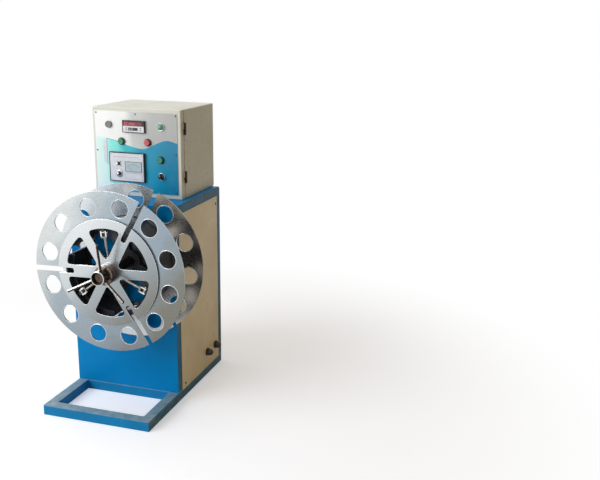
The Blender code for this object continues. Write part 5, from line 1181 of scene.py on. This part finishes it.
def digits(name, word, x, z, height, y, finish, body):
    """Seven segment numbers, standing proud of a face."""
    shape = bmesh.new()
    width, bar = height * 0.52, height * 0.12
    for number, digit in enumerate(word):
        left = x + number * height * 0.80
        for segment in SEGMENTS[digit]:
            if segment in "adg":
                level = {"a": height - bar, "g": (height - bar) / 2, "d": 0.0}[segment]
                low = (left + bar * 0.6, y, z + level)
                high = (left + width - bar * 0.6, y + PRINT_DEPTH, z + level + bar)
            else:
                side = left if segment in "ef" else left + width - bar
                level = 0.0 if segment in "ec" else height / 2
                low = (side, y, z + level + bar * 0.55)
                high = (side + bar, y + PRINT_DEPTH, z + level + height / 2 - bar * 0.55)
            cuboid(shape, low, high)
    finish_piece(name, shape, finish, body, smooth=False)


def counter():
    """Panel counter: black frame, red display with its numbers, white lower half with preset and keys."""
    low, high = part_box("counter")
    x, z = middle_of("counter")
    shape = bmesh.new()
    frame_ring(shape, (low.x, low.y, low.z), (high.x, PLATE_LOW.y - 0.0003, high.z), 0.0026, 0.0016)
    cuboid(shape, (x - 0.04575, low.y + 0.0045, z - 0.02225), (x + 0.04575, high.y, z + 0.02225))
    finish_piece("counter_frame", shape, BLACK_PLASTIC, "door", ["counter"], 0.0006)
    face = low.y + 0.0006
    wide, tall = (high.x - low.x) / 2 - 0.0030, (high.z - low.z) / 2 - 0.0030
    slab(
        "counter_face", (x - wide, face, z - tall), (x + wide, low.y + 0.0019, z + tall),
        WHITE_PLASTIC, "door", 0.0002,
    )
    slab(
        "counter_head", (x - wide, face - 0.0002, z + tall - 0.0030), (x + wide, face + 0.0004, z + tall),
        BLACK_PLASTIC, "door",
    )
    slab(
        "counter_display", (x - wide, face - 0.0004, z + 0.0020), (x + wide * 0.80, face + 0.0004, z + tall - 0.0030),
        RED_DISPLAY, "door", 0.0002,
    )
    slab(
        "counter_shoulder", (x + wide * 0.80, face - 0.0003, z + 0.0020), (x + wide, face + 0.0004, z + tall - 0.0030),
        BLACK_PLASTIC, "door",
    )
    digits("counter_numbers", "001280", x - wide + 0.006, z + 0.0052, 0.0100, face - 0.0006, RED_DIGITS, "door")
    shape = bmesh.new()
    cuboid(shape, (x - 0.0230, face - 0.0008, z - 0.0150), (x + 0.0180, face + 0.0002, z - 0.0040))
    finish_piece("counter_wheels", shape, BLACK_PLASTIC, "door", bevel=0.0003)
    digits("counter_preset", "0500", x - 0.0200, z - 0.0125, 0.0062, face - 0.0010, WHITE_PLASTIC, "door")
    shape = bmesh.new()
    for spot in (-0.034, 0.028):
        cuboid(shape, (x + spot, face - 0.0006, z - 0.0150), (x + spot + 0.0065, face + 0.0002, z - 0.0112))
        cuboid(shape, (x + spot, face - 0.0006, z - 0.0078), (x + spot + 0.0065, face + 0.0002, z - 0.0040))
    finish_piece("counter_keys", shape, GREY_PLASTIC, "door", bevel=0.0004)


def ticks(shape, place, inner, outer, first, last, count, width, y):
    """Scale marks on an arc, clockwise from the first direction to the last."""
    for number in range(count):
        turn = first + (last - first) * number / (count - 1)
        reach = outer if number % 5 == 0 else outer - (outer - inner) * 0.35
        move = turned_at((place[0], y, place[1]), turn)
        placed_block(shape, move, (inner, 0, -width / 2), (reach, PRINT_DEPTH, width / 2))


def speed_unit():
    """Speed unit: black frame, pale face with screws, switch with a painted shadow round it, dial marks, meter and a
    bare field.
    """
    low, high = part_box("speed_unit")
    face_front = low.y + 0.004
    x, z = middle_of("speed_unit")
    shape = bmesh.new()
    frame_ring(shape, (low.x, face_front, low.z), (high.x, PLATE_LOW.y - 0.0003, high.z), 0.0034, 0.0012)
    half_x, half_z = (high.x - low.x) / 2 - 0.008, (high.z - low.z) / 2 - 0.008
    cuboid(shape, (x - half_x, face_front + 0.005, z - half_z), (x + half_x, high.y, z + half_z))
    finish_piece("speed_frame", shape, BLACK_PLASTIC, "door", ["speed_unit"], 0.0006)
    wide, tall = (high.x - low.x) / 2 - 0.0038, (high.z - low.z) / 2 - 0.0038
    y = face_front + 0.0001
    slab(
        "speed_face", (x - wide, y, z - tall), (x + wide, face_front + 0.0016, z + tall),
        WHITE_PLASTIC, "door", 0.0002,
    )
    places = [(x + a * (wide - 0.0050), y, z + b * (tall - 0.0050)) for a in (-1, 1) for b in (-1, 1)]
    screws("speed_face_screws", places, FORWARD, 0.0017, MACHINED, "door", 14)
    tx, tz = middle_of("toggle_lever")[0], z + SWITCH_SHARE * (high.z - low.z)
    kx, kz = middle_of("speed_knob")
    profile = [
        (0, 0.0040), (0.0030, 0.0040), (0.0034, 0.0036), (0.0034, 0.0022), (0.0058, 0.0022), (0.0062, 0.0016),
        (0.0062, 0.0004), (0.0074, 0.0004), (0.0074, 0.0), (0, 0.0),
    ]
    turned_piece("toggle_bush", profile, (tx, y, tz), BLACKED, "door", steps=12)
    profile = [(0.0088, 0.0), (0.0088, 0.0003), (0.0150, 0.0003), (0.0152, 0.0002), (0.0152, 0.0), (0.0088, 0.0)]
    turned_piece("dial_plate", profile, (kx, y, kz), MACHINED, "door", steps=56)
    shape = bmesh.new()
    # Painted shadow: four dark strokes in an X round the switch lever
    for degrees in (45, 135, 225, 315):
        move = turned_at((tx, y - PRINT_DEPTH, tz), radians(degrees))
        placed_block(shape, move, (0.0078, 0, -0.0013), (0.0138, PRINT_DEPTH, 0.0013))
    ticks(shape, (kx, kz), 0.0118, 0.0150, radians(225), radians(-45), 21, 0.0007, y - PRINT_DEPTH)
    ticks(shape, (kx, kz), 0.0160, 0.0176, radians(120), radians(10), 45, 0.0012, y - PRINT_DEPTH)
    finish_piece("switch_shadow_and_dial_marks", shape, PRINT_INK, "door", smooth=False)
    low, high = (x - 0.060, y - 0.0001, z + 0.0400), (x + 0.056, y + 0.0001, z + 0.0408)
    slab("speed_head_band", low, high, GREY_INK, "door")
    left, right, bottom, top = -0.0914, -0.0184, 0.9040, 0.9450
    shape = bmesh.new()
    frame_ring(shape, (left, y - 0.0024, bottom), (right, y + 0.0002, top), 0.0022, 0.0012)
    finish_piece("meter_frame", shape, GREY_PLASTIC, "door", bevel=0.0004)
    slab(
        "meter_face", (left + 0.0024, y - 0.0014, bottom + 0.0024), (right - 0.0024, y - 0.0008, top - 0.0024),
        METER_FACE, "door",
    )
    shape = bmesh.new()
    centre = ((left + right) / 2, bottom - 0.010)
    ticks(shape, centre, 0.0380, 0.0425, radians(132), radians(48), 21, 0.0005, y - 0.0017)
    needle = turned_at((centre[0], y - 0.0019, centre[1]), radians(122))
    placed_block(shape, needle, (0.0150, 0, -0.00035), (0.0390, PRINT_DEPTH, 0.00035))
    finish_piece("meter_scale", shape, PRINT_INK, "door", smooth=False)
    shape = bmesh.new()
    cuboid(shape, (left, y - 0.0004, 0.8740), (right, y, 0.8985))
    finish_piece("bare_field_edge", shape, GREY_INK, "door", smooth=False)
    low, high = (left + 0.0008, y - 0.0006, 0.8748), (right - 0.0008, y - 0.0003, 0.8977)
    slab("bare_field", low, high, WHITE_PLASTIC, "door")


def bezel(node, finish):
    """Round bezel with its neck, locking nut and contact block behind the door."""
    x, z = middle_of(node)
    y = PLATE_LOW.y
    shape = bmesh.new()
    profile = [
        (0.0081, 0.0007), (0.0119, 0.0007), (0.0121, 0.0058), (0.0128, 0.0068), (0.0136, 0.0070), (0.0144, 0.0062),
        (0.0148, 0.0040), (0.0148, 0.0004), (0.0110, 0.0004), (0.0110, -0.0125), (0.0081, -0.0125), (0.0081, 0.0007),
    ]
    lathe(shape, profile, (x, y, z), steps=56)
    nut, block, half = 0.0572, 0.0606, 0.0150
    rod(shape, (x, nut, z), (x, block - 0.0001, z), half, 8)
    cuboid(shape, (x - half, block, z - half), (x + half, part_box(node)[1].y, z + half))
    finish_piece("ring_of_" + node.replace("_bezel", ""), shape, finish, "door", [node], 0.0004)


def cap(node, finish, body):
    """Round push button cap with a shallow dish, on its stem."""
    x, z = middle_of(node)
    profile = [
        (0, 0.0119), (0.0060, 0.0120), (0.0090, 0.0124), (0.0100, 0.0125), (0.0109, 0.0121), (0.0115, 0.0112),
        (0.0117, 0.0100), (0.0117, 0.0049), (0.0076, 0.0049), (0.0076, 0.0005), (0, 0.0005),
    ]
    turned_piece("cap_of_" + node, profile, (x, PLATE_LOW.y, z), finish, body, [node], steps=56)


def selector():
    """Selector with a grip bar across its face and a pale pointer."""
    x, z = middle_of("selector_knob")
    y = PLATE_LOW.y
    shape = bmesh.new()
    profile = [
        (0, 0.0128), (0.0092, 0.0128), (0.0106, 0.0122), (0.0112, 0.0108), (0.0112, 0.0010), (0.0074, 0.0010),
        (0.0074, -0.0055), (0, -0.0055),
    ]
    lathe(shape, profile, (x, y, z))
    made = cuboid(shape, (x - 0.0034, y - 0.0190, z - 0.0097), (x + 0.0034, y - 0.0120, z + 0.0097))
    for vert in made:
        if vert.co.y < y - 0.015:
            vert.co.x = x + (vert.co.x - x) * 0.72
    finish_piece("selector_grip", shape, BLACK_PLASTIC, "selector", ["selector_knob"], 0.0007)
    low, high = (x - 0.0008, y - 0.01915, z + 0.0010), (x + 0.0008, y - 0.0188, z + 0.0090)
    slab("selector_pointer", low, high, WHITE_PLASTIC, "selector")


def knob_and_lever():
    """Fluted knob with a pale pointer, and the lever of the switch."""
    x, z = middle_of("speed_knob")
    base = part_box("speed_knob")[1].y
    shape = bmesh.new()
    profile = [
        (0, 0.0127), (0.0055, 0.0127), (0.0062, 0.0122), (0.0068, 0.0112), (0.0070, 0.0040), (0.0074, 0.0030),
        (0.0084, 0.0016), (0.0085, 0.0002), (0.0085, 0.0), (0, 0.0),
    ]
    lathe(shape, profile, (x, base, z))
    flute(shape, (x, base, z), (0, 2), 0.93, lambda off, ring: 0.0060 < ring < 0.0072)
    finish_piece("fluted_knob", shape, BLACK_PLASTIC, "speed_dial", ["speed_knob"], 0.0002)
    profile = [(0, 0.0131), (0.0050, 0.0131), (0.0056, 0.0128), (0.0057, 0.0120), (0, 0.0120)]
    turned_piece("knob_disc", profile, (x, base, z), MACHINED, "speed_dial", steps=40)
    shape = bmesh.new()
    pointer = turned_at((x, base, z), radians(120))
    placed_block(shape, pointer, (0.0058, -0.0125, -0.0007), (0.0066, -0.0119, 0.0007))
    placed_block(shape, pointer, (0.0072, -0.0026, -0.0006), (0.0083, -0.0018, 0.0006))
    finish_piece("knob_pointer", shape, WHITE_PLASTIC, "speed_dial", smooth=False)
    tilt = radians(12.0)
    low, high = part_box("speed_unit")
    pivot = (middle_of("toggle_lever")[0], low.y, (low.z + high.z) / 2 + SWITCH_SHARE * (high.z - low.z))
    profile = [
        (0, 0.0140), (0.0016, 0.0138), (0.0026, 0.0128), (0.0030, 0.0112), (0.0028, 0.0094), (0.0020, 0.0050),
        (0.0018, 0.0012), (0, 0.0010),
    ]
    way = (0, -cos(tilt), sin(tilt))
    turned_piece("switch_lever", profile, pivot, CHROME, "toggle", ["toggle_lever"], direction=way, steps=24)


def lamp_and_buzzer():
    """Green lamp with a domed lens in its bright ring, and the grey sounder with its grille."""
    x, z = middle_of("run_lamp")
    y = PLATE_LOW.y
    profile = [
        (0.0119, 0.0040), (0.0123, 0.0062), (0.0130, 0.0069), (0.0138, 0.0070), (0.0145, 0.0062), (0.0148, 0.0040),
        (0.0148, 0.0004), (0.0110, 0.0004), (0.0110, -0.0139), (0, -0.0139), (0, 0.0030), (0.0119, 0.0030),
        (0.0119, 0.0040),
    ]
    turned_piece("lamp_ring", profile, (x, y, z), CHROME, "door", ["run_lamp"], steps=56)
    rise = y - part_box("run_lamp")[0].y - 0.0070
    profile = [(0, 0.0070 + rise)]
    for step in range(1, 9):
        turn = QUARTER * step / 8
        profile.append((0.0118 * sin(turn), 0.0070 + rise * cos(turn)))
    profile += [(0.0118, 0.0035), (0, 0.0035)]
    turned_piece("lamp_lens", profile, (x, y, z), GREEN_LENS, "door")
    x, z = middle_of("buzzer")
    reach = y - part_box("buzzer")[0].y
    profile = [
        (0, reach - 0.0012), (0.0098, reach - 0.0012), (0.0102, reach), (0.0126, reach), (0.0136, reach - 0.0010),
        (0.0140, reach - 0.0030), (0.0140, 0.0004), (0.0110, 0.0004), (0.0110, -0.0139), (0, -0.0139),
    ]
    turned_piece("sounder_body", profile, (x, y, z), GREY_PLASTIC, "door", ["buzzer"], steps=56)
    shape = bmesh.new()
    for ring, count in ((0.0, 1), (0.0038, 6), (0.0076, 12)):
        for number in range(count):
            turn = 2 * pi * number / count
            sx, sz = x + ring * cos(turn), z + ring * sin(turn)
            rod(shape, (sx, y - reach + 0.00115, sz), (sx, y - reach + 0.0018, sz), 0.0010, 12)
    finish_piece("sounder_grille", shape, PRINT_INK, "door")


def devices():
    """Everything that stands on the faceplate."""
    counter()
    speed_unit()
    for node in BUTTONS:
        bezel(node + "_bezel", BLACK_PLASTIC)
    bezel("selector_bezel", CHROME)
    for node, finish in zip(BUTTONS, (RED_PLASTIC, GREEN_PLASTIC, GREEN_PLASTIC)):
        cap(node, finish, node)
    selector()
    knob_and_lever()
    lamp_and_buzzer()


# Studio

def area_light(name, place, target, size, power, colour):
    """A soft area light that faces a point."""
    lamp = bpy.data.lights.new(name, "AREA")
    lamp.shape = "RECTANGLE"
    lamp.size, lamp.size_y = size
    lamp.energy = power
    lamp.color = linear(colour)[:3]
    item = bpy.data.objects.new(name, lamp)
    item.location = place
    item.rotation_euler = (Vector(target) - Vector(place)).to_track_quat("-Z", "Y").to_euler()
    bpy.context.scene.collection.objects.link(item)


def seen_rays(tree):
    """The light path node, and a mask of the rays that show a thing: camera, glossy and through glass."""
    path = add(tree, "ShaderNodeLightPath")
    shown = path.outputs["Is Camera Ray"]
    for kind in ("Is Glossy Ray", "Is Transmission Ray"):
        shown = add(tree, "ShaderNodeMath", {"operation": "MAXIMUM"}, {0: shown, 1: path.outputs[kind]}).outputs[0]
    return path, shown


def studio():
    """Pale floor, pale world, soft lights from the front left, and the camera."""
    shape = bmesh.new()
    bmesh.ops.create_grid(shape, x_segments=1, y_segments=1, size=30)
    floor = loose_piece("floor", shape)
    made, tree, shader = material("pale_floor", {
        "Base Color": linear("EEF0F5"), "Roughness": 0.9, "Emission Color": linear("F4F8FF"),
    })
    path, shown = seen_rays(tree)
    glow = add(tree, "ShaderNodeMath", {"operation": "MULTIPLY", 1: 0.38}, {0: path.outputs["Is Camera Ray"]})
    tree.links.new(glow.outputs[0], shader.inputs["Emission Strength"])
    flat = add(tree, "ShaderNodeVectorMath", {"operation": "MULTIPLY", 1: (1, 1, 0)}, {0: place_on(tree)})
    length = add(tree, "ShaderNodeVectorMath", {"operation": "LENGTH"}, {0: flat.outputs[0]})
    far = add(
        tree, "ShaderNodeMapRange", {"From Min": 0.7, "From Max": 2.0, "interpolation_type": "SMOOTHSTEP"},
        {"Value": length.outputs["Value"]},
    )
    share = add(tree, "ShaderNodeMath", {"operation": "MULTIPLY"}, {0: far.outputs[0], 1: shown})
    white = add(tree, "ShaderNodeEmission", {"Color": (1, 1, 1, 1), "Strength": 1.0})
    mixed = add(
        tree, "ShaderNodeMixShader", None, {0: share.outputs[0], 1: shader.outputs[0], 2: white.outputs[0]}
    )
    tree.links.new(mixed.outputs[0], tree.nodes["Material Output"].inputs["Surface"])
    floor.data.materials.append(made)

    world = bpy.data.worlds.new("studio")
    bpy.context.scene.world = world
    world.use_nodes = True
    tree = world.node_tree
    light = tree.nodes["Background"]
    light.inputs["Color"].default_value = linear("FFE6BE")
    light.inputs["Strength"].default_value = 0.30
    seen = add(tree, "ShaderNodeBackground", {"Color": linear("FFFFFF"), "Strength": 1.0})
    shown = seen_rays(tree)[1]
    mixed = add(tree, "ShaderNodeMixShader", None, {0: shown, 1: light.outputs[0], 2: seen.outputs[0]})
    tree.links.new(mixed.outputs[0], tree.nodes["World Output"].inputs["Surface"])

    area_light("window", (-2.4, -3.0, 2.4), (0, 0, 0.7), (3.4, 2.6), 132, "F6FAFF")
    area_light("ceiling", (-0.6, 0.0, 3.4), (0, 0, 0.6), (2.4, 2.4), 30, "F4F9FF")

    yaw, pitch, roll = CAMERA_TURNS
    ahead = Vector((-sin(yaw) * cos(pitch), cos(yaw) * cos(pitch), -sin(pitch)))
    right = Vector((cos(yaw), sin(yaw), 0))
    up = right.cross(ahead)
    across = cos(roll) * right + sin(roll) * up
    upright = cos(roll) * up - sin(roll) * right
    camera = bpy.data.cameras.new("camera")
    camera.lens = CAMERA_LENS
    camera.sensor_width = 36
    camera.clip_end = 100
    item = bpy.data.objects.new("camera", camera)
    turned = Matrix((across, upright, -ahead)).transposed().to_4x4()
    item.matrix_world = Matrix.Translation(CAMERA_PLACE) @ turned
    bpy.context.scene.collection.objects.link(item)
    bpy.context.scene.camera = item
    bpy.context.scene.view_settings.view_transform = "Standard"


studio()
flanges()
hub_and_nut()
core()
cabinet()
louvres()
box_back()
cable_glands()
control_box()
faceplate()
devices()

bpy.context.view_layer.update()
